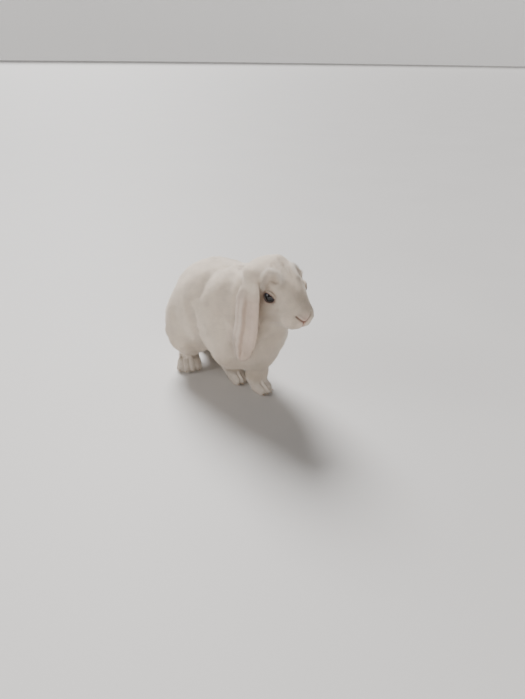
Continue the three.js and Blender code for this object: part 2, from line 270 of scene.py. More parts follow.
# ------------------------------------------------------------------ shading
class Value:
    """A socket that carries a number through arithmetic, adding the Math nodes as it goes."""

    def __init__(self, graph: "Graph", socket: bpy.types.NodeSocket) -> None:
        """Wraps one output socket of a graph."""
        self.graph = graph
        self.socket = socket

    def _with(self, operation: str, first: Any, second: Any) -> "Value":
        """A Math node on two values."""
        made = self.graph.node("ShaderNodeMath", {"operation": operation}, {0: first, 1: second})
        return Value(self.graph, made.outputs[0])

    def __add__(self, other: Any) -> "Value":
        """self + other."""
        return self._with("ADD", self, other)

    def __radd__(self, other: Any) -> "Value":
        """other + self."""
        return self._with("ADD", other, self)

    def __sub__(self, other: Any) -> "Value":
        """self - other."""
        return self._with("SUBTRACT", self, other)

    def __rsub__(self, other: Any) -> "Value":
        """other - self."""
        return self._with("SUBTRACT", other, self)

    def __mul__(self, other: Any) -> "Value":
        """self * other."""
        return self._with("MULTIPLY", self, other)

    def __rmul__(self, other: Any) -> "Value":
        """other * self."""
        return self._with("MULTIPLY", other, self)


class Graph:
    """One material and the nodes in it."""

    def __init__(self, name: str) -> None:
        """Starts an empty material."""
        self.material = bpy.data.materials.new(name)
        self.material.use_nodes = True
        self.tree = self.material.node_tree
        self.tree.nodes.clear()

    def node(self, kind: str, settings: dict | None = None, inputs: dict | None = None) -> bpy.types.Node:
        """Adds a node.

        Args:
            kind: the node's type.
            settings: its properties; "stops" fills a colour ramp with (place, colour) pairs.
            inputs: values or links of its sockets, by name or number.

        Returns:
            The node.
        """
        made = self.tree.nodes.new(kind)
        for key, value in (settings or {}).items():
            if key == "stops":
                stops = made.color_ramp.elements
                stops.remove(stops[0])
                stops[0].position, stops[0].color = value[0][0], (*value[0][1], 1.0)
                for place, colour in value[1:]:
                    stops.new(place).color = (*colour, 1.0)
            else:
                setattr(made, key, value)
        for key, value in (inputs or {}).items():
            if isinstance(value, (Value, bpy.types.NodeSocket)):
                socket = value.socket if isinstance(value, Value) else value
                self.tree.links.new(socket, made.inputs[key])
            else:
                made.inputs[key].default_value = value
        return made

    def noise(
        self, scale: float, detail: float = 3.0, stretch: tuple[float, float, float] = (1, 1, 1),
    ) -> Value:
        """Noise on the piece's own coordinates, about 0 to 1."""
        place = self.node("ShaderNodeTexCoord").outputs["Object"]
        mapped = self.node("ShaderNodeMapping", {}, {"Vector": place, "Scale": stretch})
        made = self.node(
            "ShaderNodeTexNoise", {}, {"Vector": mapped.outputs[0], "Scale": scale, "Detail": detail})
        return Value(self, made.outputs[0])

    def mix(self, factor: Any, first: Any, second: Any, blend: str = "MIX") -> bpy.types.NodeSocket:
        """Two colours mixed."""
        made = self.node(
            "ShaderNodeMix", {"data_type": "RGBA", "blend_type": blend}, {0: factor, 6: first, 7: second})
        return made.outputs[2]

    def painted(self, name: str) -> bpy.types.NodeSocket:
        """The colour that a mesh carries under a name."""
        return self.node("ShaderNodeAttribute", {"attribute_name": name}).outputs["Color"]

    def measured(self, name: str) -> Value:
        """The number that a mesh carries under a name."""
        return Value(self, self.node("ShaderNodeAttribute", {"attribute_name": name}).outputs["Fac"])

    def surface(self, inputs: dict) -> bpy.types.Material:
        """Ends the graph in one principled surface and returns the material."""
        shader = self.node("ShaderNodeBsdfPrincipled", {}, inputs)
        self.node("ShaderNodeOutputMaterial", {}, {"Surface": shader.outputs[0]})
        return self.material


@dataclass(frozen=True)
class CoatFinish:
    """Short dense fur: the markings that the mesh carries, a little clumping, and a soft sheen."""

    name: str = "coat"
    roughness: float = 0.74
    sheen: float = 0.25
    clump_scale: float = 110.0

    def material(self) -> bpy.types.Material:
        """The coat's material."""
        graph = Graph(self.name)
        clumps = graph.noise(self.clump_scale, 2.0)
        tone = graph.node("ShaderNodeCombineColor", {}, {
            0: 0.945 + clumps * 0.11, 1: 0.94 + clumps * 0.11, 2: 0.93 + clumps * 0.12})
        colour = graph.mix(1.0, graph.painted("shade"), tone.outputs[0], "MULTIPLY")
        return graph.surface({
            "Base Color": colour, "Roughness": self.roughness, "Sheen Weight": self.sheen,
            "Sheen Roughness": 0.45, "Specular IOR Level": 0.3,
        })


@dataclass(frozen=True)
class SkinFinish:
    """The skin and the short down on it: the same markings, with fine hairs as bump."""

    name: str = "skin"
    hair_scale: float = 1400.0
    bump: float = 0.35

    def material(self) -> bpy.types.Material:
        """The skin's material."""
        graph = Graph(self.name)
        down = graph.noise(self.hair_scale, 2.0, (1.0, 0.35, 0.5))
        soft = graph.noise(220.0, 3.0)
        tone = graph.node("ShaderNodeCombineColor", {}, {
            0: 0.88 + soft * 0.16, 1: 0.86 + soft * 0.16, 2: 0.84 + soft * 0.17})
        colour = graph.mix(1.0, graph.painted("shade"), tone.outputs[0], "MULTIPLY")
        bump = graph.node("ShaderNodeBump", {}, {
            "Strength": self.bump, "Distance": 0.0006, "Height": down + soft * 0.6})
        return graph.surface({
            "Base Color": colour, "Roughness": 0.68, "Normal": bump.outputs[0],
            "Sheen Weight": 0.15, "Sheen Roughness": 0.5, "Specular IOR Level": 0.3,
        })


@dataclass(frozen=True)
class EyeFinish:
    """A wet eye: wide dark pupil, slate-blue iris with fine rays, dark rim, and a pale white behind."""

    name: str = "eye"
    pupil: float = 0.44
    iris: float = 0.74

    def material(self) -> bpy.types.Material:
        """The eye's material. The mesh carries how far each point is from the eye's axis."""
        graph = Graph(self.name)
        rays = graph.noise(700.0, 2.0)
        place = graph.measured("reach") + (rays - 0.5) * 0.05
        ramp = graph.node("ShaderNodeValToRGB", {"stops": [
            (0.0, (0.004, 0.004, 0.005)), (self.pupil - 0.02, (0.005, 0.005, 0.006)),
            (self.pupil + 0.04, (0.022, 0.024, 0.032)), (self.iris - 0.12, (0.034, 0.039, 0.058)),
            (self.iris, (0.016, 0.015, 0.018)), (self.iris + 0.08, (0.10, 0.085, 0.085)),
            (1.0, (0.26, 0.20, 0.19)),
        ]}, {0: place})
        return graph.surface({
            "Base Color": ramp.outputs[0], "Roughness": 0.14, "Coat Weight": 0.6, "Coat Roughness": 0.03,
            "Specular IOR Level": 0.3,
        })


@dataclass(frozen=True)
class PlainFinish:
    """A finish of one colour, varied a little over the surface."""

    name: str
    colour: tuple[float, float, float]
    second: tuple[float, float, float]
    scale: float
    roughness: float
    bump: float = 0.0
    glow: float = 0.0

    def material(self) -> bpy.types.Material:
        """The finish's material."""
        graph = Graph(self.name)
        spots = graph.noise(self.scale, 4.0)
        inputs = {
            "Base Color": graph.mix(spots, (*self.colour, 1.0), (*self.second, 1.0)),
            "Roughness": self.roughness + (spots - 0.5) * 0.1,
            "Emission Color": (*self.colour, 1.0), "Emission Strength": self.glow,
        }
        if self.bump:
            bump = graph.node(
                "ShaderNodeBump", {}, {"Strength": self.bump, "Distance": 0.0004, "Height": spots})
            inputs["Normal"] = bump.outputs[0]
        return graph.surface(inputs)


# ------------------------------------------------------------------ the skin
@dataclass(frozen=True)
class CoatKind:
    """How one region's coat grows.

    Depth over the skin, the tufts' length and width in millimetres, tufts to a square millimetre, and how
    strongly the skin under it is smoothed.
    """

    depth: float
    length: float
    width: float
    density: float
    smoothing: float


KINDS = {
    Region.TRUNK: CoatKind(4.2, 11.5, 1.02, 2.30, 1.0),
    Region.HEAD: CoatKind(2.0, 6.0, 0.64, 2.80, 0.14),
    Region.EAR: CoatKind(0.7, 3.4, 0.52, 2.50, 0.10),
    Region.LEG: CoatKind(2.4, 8.0, 0.85, 1.80, 0.22),
    Region.FOOT: CoatKind(1.2, 4.6, 0.56, 2.40, 0.07),
    Region.TAIL: CoatKind(4.5, 10.0, 1.00, 2.40, 0.45),
}

FLESH = {
    "head": Region.HEAD, "neck": Region.TRUNK, "trunk": Region.TRUNK, "tail": Region.TAIL,
    **{f"{name}_{side}": region for side in SIDES for name, region in {
        "haunch": Region.TRUNK, "hock": Region.LEG, "foreleg": Region.LEG,
        "forepaw": Region.FOOT, "hind_foot": Region.FOOT, "ear": Region.EAR}.items()},
}


class Fabric:
    """A mesh as arrays, with averages over its edges."""

    def __init__(self, mesh: bpy.types.Mesh) -> None:
        """Reads a mesh's vertices and edges."""
        self.points = np.zeros(len(mesh.vertices) * 3)
        mesh.vertices.foreach_get("co", self.points)
        self.points = self.points.reshape(-1, 3)
        edges = np.zeros(len(mesh.edges) * 2, dtype=np.int64)
        mesh.edges.foreach_get("vertices", edges)
        self.ends = edges.reshape(-1, 2).T
        self.degree = np.bincount(self.ends.ravel(), minlength=len(self.points))[:, None].astype(float)

    def store(self, mesh: bpy.types.Mesh) -> None:
        """Writes the vertices back to a mesh."""
        mesh.vertices.foreach_set("co", self.points.ravel())
        mesh.update()

    def around(self, values: np.ndarray) -> np.ndarray:
        """Each vertex's neighbours averaged, for one column or several."""
        a, b = self.ends
        count = len(self.points)
        columns = [
            np.bincount(a, column[b], count) + np.bincount(b, column[a], count) for column in values.T]
        return np.stack(columns, axis=1) / np.maximum(self.degree, 1)

    def blurred(self, values: np.ndarray, times: int) -> np.ndarray:
        """Values spread over the mesh a number of times."""
        values = values if values.ndim == 2 else values[:, None]
        for _ in range(times):
            values = 0.5 * values + 0.5 * self.around(values)
        return values

    def relax(self, strength: np.ndarray, times: int) -> None:
        """Smooths the surface without shrinking it, more where strength is greater."""
        for _ in range(times):
            for step in (0.52, -0.535):
                self.points = self.points + step * strength * (self.around(self.points) - self.points)

    def melt(self, strength: np.ndarray, times: int) -> None:
        """Lets creases fill and edges sink, more where strength is greater."""
        for _ in range(times):
            self.points = self.points + 0.5 * strength * (self.around(self.points) - self.points)


def normals_of(mesh: bpy.types.Mesh) -> np.ndarray:
    """A mesh's vertex normals."""
    normals = np.zeros(len(mesh.vertices) * 3, dtype=np.float32)
    mesh.vertex_normals.foreach_get("vector", normals)
    return normals.reshape(-1, 3).astype(float)


@dataclass
class Skin:
    """The one skin of the body, from the CAD solids, smoothed, thinned by the coat's depth and sculpted."""

    head: HeadPlan
    voxel: float = 0.00171
    swell: float = 0.0008
    sole: float = 0.0005
    relaxes: int = 70
    fold_melts: int = 90
    wrist_height: float = 0.051
    wrist_melts: int = 60
    ear_top: float = 0.14
    lid_zone: float = 15.0
    toe_cleft: float = 2.8
    mesh: bpy.types.Mesh = None
    regions: np.ndarray = None
    points: np.ndarray = None
    normals: np.ndarray = None
    fabric: Fabric = None
    bvh: BVHTree = None
    face_region: list[int] = field(default_factory=list)

    def build(self) -> bpy.types.Object:
        """Builds the skin's object."""
        closed = self._gather()
        mesh = self._remesh(closed)
        self._soften(mesh)
        mesh = self._refine(mesh)
        self._thin(mesh)
        self._sculpt(mesh)
        self._unwrap(mesh)
        self.mesh = mesh
        self.fabric = Fabric(mesh)
        self.points = self.fabric.points
        self.normals = normals_of(mesh)
        mesh.polygons.foreach_set("use_smooth", [True] * len(mesh.polygons))
        return linked("skin", mesh)

    def _gather(self) -> bpy.types.Object:
        """Copies of the flesh nodes and eyes in one mesh, each a little swollen so that they meet."""
        joined = bmesh.new()
        polygons, corners, count = [], [], 0
        eyes = {f"eye_{side}": Region.HEAD for side in SIDES}
        for node, region in {**FLESH, **eyes}.items():
            part = bmesh.new()
            part.from_mesh(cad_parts[node].data)
            bmesh.ops.remove_doubles(part, verts=part.verts, dist=2e-5)
            part.normal_update()
            for face in part.faces:
                polygons.append([v.index + count for v in face.verts])
                self.face_region.append(region.value)
            corners += [v.co.copy() for v in part.verts]
            count += len(part.verts)
            for vert in part.verts:
                vert.co += vert.normal * self.swell
            swollen = bpy.data.meshes.new(node + "_swollen")
            part.to_mesh(swollen)
            part.free()
            joined.from_mesh(swollen)
            bpy.data.meshes.remove(swollen)
        self._fill_folds(joined)
        self.bvh = BVHTree.FromPolygons(corners, polygons)
        mesh = bpy.data.meshes.new("flesh")
        joined.to_mesh(mesh)
        joined.free()
        return linked("flesh", mesh)

    def _fill_folds(self, joined: bmesh.types.BMesh) -> None:
        """A soft mass under each ear's fold, where it leaves the crown."""
        pose = self.head.pose()
        for side in SIDES.values():
            x, y, z = self.head.fold
            fit = self.head.left_fold if side > 0 else 1.0
            place = Matrix((pose.axes * MM).tolist()).to_4x4()
            place.translation = Vector(pose.outward(np.array([side * x, y, z - 18 * (1 - fit)])))
            size = Matrix.Diagonal((*(r * fit for r in self.head.fold_radii), 1.0))
            bmesh.ops.create_icosphere(joined, subdivisions=4, radius=1.0, matrix=place @ size)

    def _remesh(self, flesh: bpy.types.Object) -> bpy.types.Mesh:
        """One even skin over the joined solids."""
        remesh = flesh.modifiers.new("one_skin", "REMESH")
        remesh.mode = "VOXEL"
        remesh.voxel_size = self.voxel
        graph = bpy.context.evaluated_depsgraph_get()
        mesh = bpy.data.meshes.new_from_object(flesh.evaluated_get(graph))
        mesh.name = "skin"
        bpy.data.objects.remove(flesh)
        return self._largest(mesh)

    def _largest(self, mesh: bpy.types.Mesh) -> bpy.types.Mesh:
        """The mesh without loose inner shells."""
        shell = bmesh.new()
        shell.from_mesh(mesh)
        left = set(shell.verts)
        keep: set = set()
        while left:
            seed = left.pop()
            island, edge = {seed}, [seed]
            while edge:
                for link in edge.pop().link_edges:
                    for vert in link.verts:
                        if vert not in island:
                            island.add(vert)
                            edge.append(vert)
            left -= island
            keep = island if len(island) > len(keep) else keep
        bmesh.ops.delete(shell, geom=[v for v in shell.verts if v not in keep], context="VERTS")
        shell.to_mesh(mesh)
        shell.free()
        return mesh

    def _look_up(self, points: np.ndarray) -> np.ndarray:
        """The region of the nearest solid to each point."""
        return np.array([self.face_region[self.bvh.find_nearest(p)[2]] for p in points.tolist()])

    def wears(self, region: Region) -> np.ndarray:
        """Which vertices wear one kind of coat."""
        return self.regions == region.value

    def _per_region(self, regions: np.ndarray, name: str) -> np.ndarray:
        """One of the coat kinds' values for each vertex."""
        table = np.array([getattr(KINDS[region], name) for region in Region])
        return table[regions]

    def _soften(self, mesh: bpy.types.Mesh) -> None:
        """Rounds off the solids' facets, most on the trunk and least on the feet."""
        fabric = Fabric(mesh)
        regions = self._look_up(fabric.points)
        strength = fabric.blurred(self._per_region(regions, "smoothing"), 12)
        local = self.head.pose().inward(fabric.points)
        folds = np.zeros(len(regions))
        for side in SIDES.values():
            place = np.array([side * (self.head.fold[0] + 5), self.head.fold[1] - 3, self.head.fold[2]])
            near = bell(apart(local, place), 18.0)
            strength[:, 0] = np.maximum(strength[:, 0], 0.9 * near)
            folds = np.maximum(folds, near)
        wrists = bell(fabric.points[:, 2] - self.wrist_height, 0.016)
        wrists *= smooth_step(0.0, -0.03, fabric.points[:, 1])
        fabric.relax(strength, self.relaxes)
        fabric.melt(folds[:, None], self.fold_melts)
        fabric.melt((wrists * (regions != Region.EAR.value))[:, None], self.wrist_melts)
        fabric.store(mesh)

    def _refine(self, mesh: bpy.types.Mesh) -> bpy.types.Mesh:
        """Finer faces round the eyes, nose and mouth."""
        pose = self.head.pose()
        fine = bmesh.new()
        fine.from_mesh(mesh)
        spots = [(self.head.eye_place(side), 15.0) for side in SIDES.values()]
        spots.append((np.array([0.0, -52.0, -16.0]), 21.0))
        for shrink in (1.0, 0.86):
            centres = np.array([f.calc_center_median() for f in fine.faces])
            local = pose.inward(centres)
            near = np.zeros(len(centres), dtype=bool)
            for place, radius in spots:
                near |= apart(local, place) < radius * shrink
            fine.faces.ensure_lookup_table()
            edges = {edge for i in np.flatnonzero(near) for edge in fine.faces[i].edges}
            bmesh.ops.subdivide_edges(fine, edges=list(edges), cuts=1, use_grid_fill=True, smooth=0.0)
        fine.to_mesh(mesh)
        fine.free()
        return mesh

    def _thin(self, mesh: bpy.types.Mesh) -> None:
        """Draws the skin in by the coat's depth."""
        fabric = Fabric(mesh)
        self.regions = self._look_up(fabric.points)
        for name, side in SIDES.items():
            low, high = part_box(f"ear_{name}")
            top = fabric.points[:, 2] > high[2] - self.ear_top * (high[2] - low[2])
            top &= (fabric.points[:, 0] * side > EAR_INNER) & self.wears(Region.EAR)
            self.regions[top] = Region.HEAD.value
        depth = self._per_region(self.regions, "depth")
        local = self.head.pose().inward(fabric.points)
        muzzle = bell(apart(local, self.head.nose), 24.0)
        lids = sum(bell(apart(local, self.head.eye_place(s)), 12.0) for s in SIDES.values())
        is_head = self.wears(Region.HEAD)
        depth = np.where(is_head, depth * (1 - 0.6 * np.clip(muzzle + 0.6 * lids, 0, 1)), depth)
        depth = fabric.blurred(depth, 24)[:, 0]
        points = fabric.points - normals_of(mesh) * (depth * MM + self.swell)[:, None]
        points[:, 2] = np.maximum(points[:, 2], self.sole)
        fabric.points = points
        fabric.store(mesh)
        fabric = Fabric(mesh)
        fabric.relax(np.full((len(points), 1), 0.2), 3)
        fabric.store(mesh)

    def _sculpt(self, mesh: bpy.types.Mesh) -> None:
        """The face's forms and the clefts between the toes."""
        fabric = Fabric(mesh)
        points, normals = fabric.points, normals_of(mesh)
        pose = self.head.pose()
        local = pose.inward(points)
        push = Face(self.head).relief(local, self.wears(Region.HEAD))
        for paw in PAWS.values():
            push += self._toe_clefts(paw, points)
        for place, wide, more in FULLER:
            push += more * bell(apart((points - TRUNK_MIDDLE) / MM, place), wide)
        push += self._ear_folds(points, normals) + self._body_creases(points)
        fabric.points = points + normals * (push * MM)[:, None]
        ring = sum(bell(apart(local, self.head.eye_place(s)) - 12.5, 3.5) for s in SIDES.values())
        muzzle = bell(apart(local, (0.0, -52.0, -11.0)), 14.0)
        fabric.melt(np.maximum(0.8 * ring, 0.45 * muzzle)[:, None], 12)
        points = fabric.points
        local = pose.inward(points)
        for side in SIDES.values():
            local = self._wrap_eye(local, side)
        near = apart(local, pose.inward(points)) > 1e-6
        points[near] = pose.outward(local[near])
        fabric.store(mesh)

    def _body_creases(self, points: np.ndarray) -> np.ndarray:
        """The fold ahead of each thigh, the hollow behind each shoulder and soft waves, in millimetres."""
        plane = (points - TRUNK_MIDDLE)[:, 1:] / MM
        crease = bell(to_path(plane, THIGH_FOLD), 5.5) * smooth_step(156.0, 128.0, plane[:, 1])
        flank = smooth_step(0.028, 0.045, np.abs(points[:, 0] - TRUNK_MIDDLE[0]))
        trunk = self.wears(Region.TRUNK)
        folds = waves(points * np.array([1.0, 1.0, 0.55]), 0.034, 41)
        body = (points - TRUNK_MIDDLE) / MM
        body[:, 0] = np.abs(body[:, 0])
        hollow = bell(to_path(body, SHOULDER_HOLLOW), 7.5)
        shoulder = bell(apart(body, (38.0, -46.0, 181.0)), 15.0)
        return np.where(trunk, -2.8 * crease * flank + 0.4 * folds - 2.4 * hollow + 1.8 * shoulder, 0.0)

    def _toe_clefts(self, paw: PawPlan, points: np.ndarray) -> np.ndarray:
        """Grooves between a paw's four toes, in millimetres."""
        local = paw.pose(TRUNK_MIDDLE).inward(points)
        ahead = smooth_step(2.0, -10.0, local[:, 1]) * (np.abs(local[:, 0]) < paw.spread * 2.6)
        low = smooth_step(28.0, 16.0, local[:, 2])
        push = np.zeros(len(points))
        for cleft in (-1, 0, 1):
            place = cleft * paw.spread * (0.9 + 0.004 * np.abs(local[:, 1]))
            push -= self.toe_cleft * bell(local[:, 0] - place, 1.7) * ahead * low
        return np.where(np.linalg.norm(local, axis=1) > 48, 0.0, push)

    def _ear_folds(self, points: np.ndarray, normals: np.ndarray) -> np.ndarray:
        """A fold line down each ear, the strip behind it turned back, and shallow furrows, in millimetres."""
        push = np.zeros(len(points))
        for name, side in SIDES.items():
            is_ear, along, across = self.on_ear(points, name)
            body = smooth_step(0.18, 0.34, along) * smooth_step(1.0, 0.88, along)
            ridge = np.minimum(smooth_step(-0.20, EAR_FOLD, across), 1 - (across - EAR_FOLD) / (1 - EAR_FOLD))
            shape = 1.5 * np.maximum(ridge, 0) - 1.1 * bell(across - 0.06, 0.16)
            shape -= 0.6 * bell(across + 0.42, 0.14)
            outer = smooth_step(0.0, 0.5, normals[:, 0] * side)
            push += np.where(is_ear, shape * body * outer, 0.0)
        return push

    def on_ear(self, points: np.ndarray, name: str) -> tuple[np.ndarray, np.ndarray, np.ndarray]:
        """Places on one ear's leaf."""
        low, high = (np.array(v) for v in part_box(f"ear_{name}"))
        is_ear = self.wears(Region.EAR) & (points[:, 0] * SIDES[name] > EAR_INNER)
        along = np.clip((high[2] - points[:, 2]) / (high[2] - low[2]), 0, 1)
        place, steps = points[is_ear, 1], 24
        bins = np.clip((along[is_ear] * steps).astype(int), 0, steps - 1)
        rows = [place[bins == i] for i in range(steps)]
        known = [i for i, row in enumerate(rows) if len(row) > 8]
        centres = (np.array(known) + 0.5) / steps
        front = np.interp(along[is_ear], centres, [rows[i].min() for i in known])
        rear = np.interp(along[is_ear], centres, [rows[i].max() for i in known])
        across = np.zeros(len(points))
        across[is_ear] = (place - (front + rear) / 2) / np.maximum((rear - front) / 2, 1e-4)
        return is_ear, along, across

    def _wrap_eye(self, local: np.ndarray, side: float) -> np.ndarray:
        """Lays the skin over one eyeball as two lids."""
        plan = self.head
        axes = plan.eye_axes(side)
        offset = (local - plan.eye_place(side)) @ axes
        radius = np.linalg.norm(offset, axis=1)
        near = radius < self.lid_zone
        o, r = offset[near], radius[near]
        angle = np.arccos(np.clip(o[:, 0] / r, -1, 1))
        turn = np.arctan2(o[:, 1], o[:, 2])
        edge = plan.lid_angle(turn)
        past = angle - edge
        fade = smooth_step(math.radians(52), math.radians(12), past)
        ridge = 0.9 + 1.1 * bell(past - math.radians(14), math.radians(12)) * (0.6 + 0.4 * np.sin(turn))
        wanted = plan.eye_radius + ridge
        lifted = np.where(r < wanted, r + (wanted - r) * fade, r - (r - wanted) * fade * 0.55)
        sunk = np.minimum(r, plan.eye_radius - 1.6)
        r_new = np.where(past < 0, sunk, lifted)
        offset[near] = o * (r_new / r)[:, None]
        moved = offset @ axes.T + plan.eye_place(side)
        out = local.copy()
        out[near] = moved[near]
        return out

    def _unwrap(self, mesh: bpy.types.Mesh) -> None:
        """An unwrap of the skin's own shape, which the coat shares."""
        work = linked("unwrap", mesh)
        bpy.context.view_layer.objects.active = work
        work.select_set(True)
        mesh.uv_layers.new(name="OFBake")
        bpy.ops.object.mode_set(mode="EDIT")
        bpy.ops.mesh.select_all(action="SELECT")
        bpy.ops.uv.smart_project(angle_limit=math.radians(75), island_margin=0.004)
        bpy.ops.object.mode_set(mode="OBJECT")
        bpy.data.objects.remove(work)


# the fold ahead of a thigh, back and up, and the hollow behind a shoulder, both in millimetres from the
# trunk's middle
THIGH_FOLD = np.array([
    (12, 158), (0, 145), (-9, 133), (-14, 118), (-14, 101), (-11, 81), (-4, 62), (8, 50)], float)
SHOULDER_HOLLOW = np.array([
    (54, -20, 158), (41, -21, 177), (31, -23, 186), (22, -30, 192), (14, -40, 195)], float)
# the left nostril's slit and the mouth's left half, across and up in the head's frame
NOSTRIL = ((1.2, -13.0), (12.5, -4.2))
MOUTH = ((0.0, -24.5), (12.0, -28.5))
# places where the coat is fuller: millimetres from the trunk's middle, how wide and how much
FULLER = (
    ((13.5, -110.0, 221.0), 11.0, 3.0),
    ((12.0, -125.0, 113.0), 9.0, 3.5),
    ((14.0, -88.0, 33.0), 14.0, 3.4),
    ((2.0, -50.0, 33.0), 12.0, 1.2),
    ((-20.0, 33.0, 24.0), 15.0, 1.6),
)


@dataclass(frozen=True)
class Face:
    """The relief of the face over the head's rounded masses, in the head's frame."""

    plan: HeadPlan

    def relief(self, local: np.ndarray, is_head: np.ndarray) -> np.ndarray:
        """How far each point of the skin is pushed out, in millimetres."""
        x, y, z = local.T
        push = self._nose(x, y, z) + self._mouth(x, y, z) + self._forehead(x, y, z)
        for side in SIDES.values():
            push = push + self._brow(local, side)
        return np.where(is_head, push, 0.0)

    def _nose(self, x: np.ndarray, y: np.ndarray, z: np.ndarray) -> np.ndarray:
        """Two slanted nostrils that meet above a short cleft."""
        front = smooth_step(-40.0, -50.0, y)
        push = np.zeros_like(x)
        for side in SIDES.values():
            slit = to_segment(side * x, z, *NOSTRIL)
            push -= 2.0 * bell(slit, 1.55) * front
            push += 0.8 * bell(to_segment(side * x, z, (2.5, -9.0), (8.0, -4.0)), 2.4) * front
        push -= 1.9 * bell(x, 1.1) * smooth_step(-11.5, -14.0, z) * smooth_step(-27.0, -23.0, z) * front
        return push

    def _mouth(self, x: np.ndarray, y: np.ndarray, z: np.ndarray) -> np.ndarray:
        """The split upper lip and the mouth's line under it."""
        front = smooth_step(-30.0, -42.0, y)
        push = np.zeros_like(x)
        for side in SIDES.values():
            push -= 1.2 * bell(to_segment(side * x, z, *MOUTH), 1.5) * front
            push += 0.9 * bell(to_segment(side * x, z, (5.0, -20.0), (10.0, -21.0)), 5.0) * front
        return push

    def _forehead(self, x: np.ndarray, y: np.ndarray, z: np.ndarray) -> np.ndarray:
        """A shallow furrow down the middle of the forehead."""
        top = smooth_step(8.0, 16.0, z) * smooth_step(-34.0, -22.0, y) * smooth_step(22.0, 8.0, y)
        return -0.9 * bell(x, 3.2) * top

    def _brow(self, local: np.ndarray, side: float) -> np.ndarray:
        """An arched ridge of fur above the eye and the soft hollow between it and the lids."""
        mirror = np.array([side, 1.0, 1.0])
        ridge = bell(to_path(local * mirror, BROW_ARCH), 3.8)
        hollow = bell(to_path(local * mirror, BROW_HOLLOW), 5.4)
        clear = smooth_step(9.5, 14.0, apart(local, self.plan.eye_place(side)))
        return 2.1 * ridge - 3.4 * hollow * clear


# the ridge over the left eye and the hollow below it, in the head's frame
BROW_ARCH = 0.94 * np.array([
    (34.5, 2, 4), (32.3, 4.8, 10.2), (26.5, 10.3, 21.3), (21.0, 10.2, 26), (15.5, 5, 27.6), (13.4, -5, 26.6),
    (13.6, -13.0, 24.3)], float)
BROW_HOLLOW = 0.93 * np.array([
    (30.5, -1, 13.5), (28.0, 0.5, 18), (24.5, -3, 21.5), (21.0, -8, 22)], float)


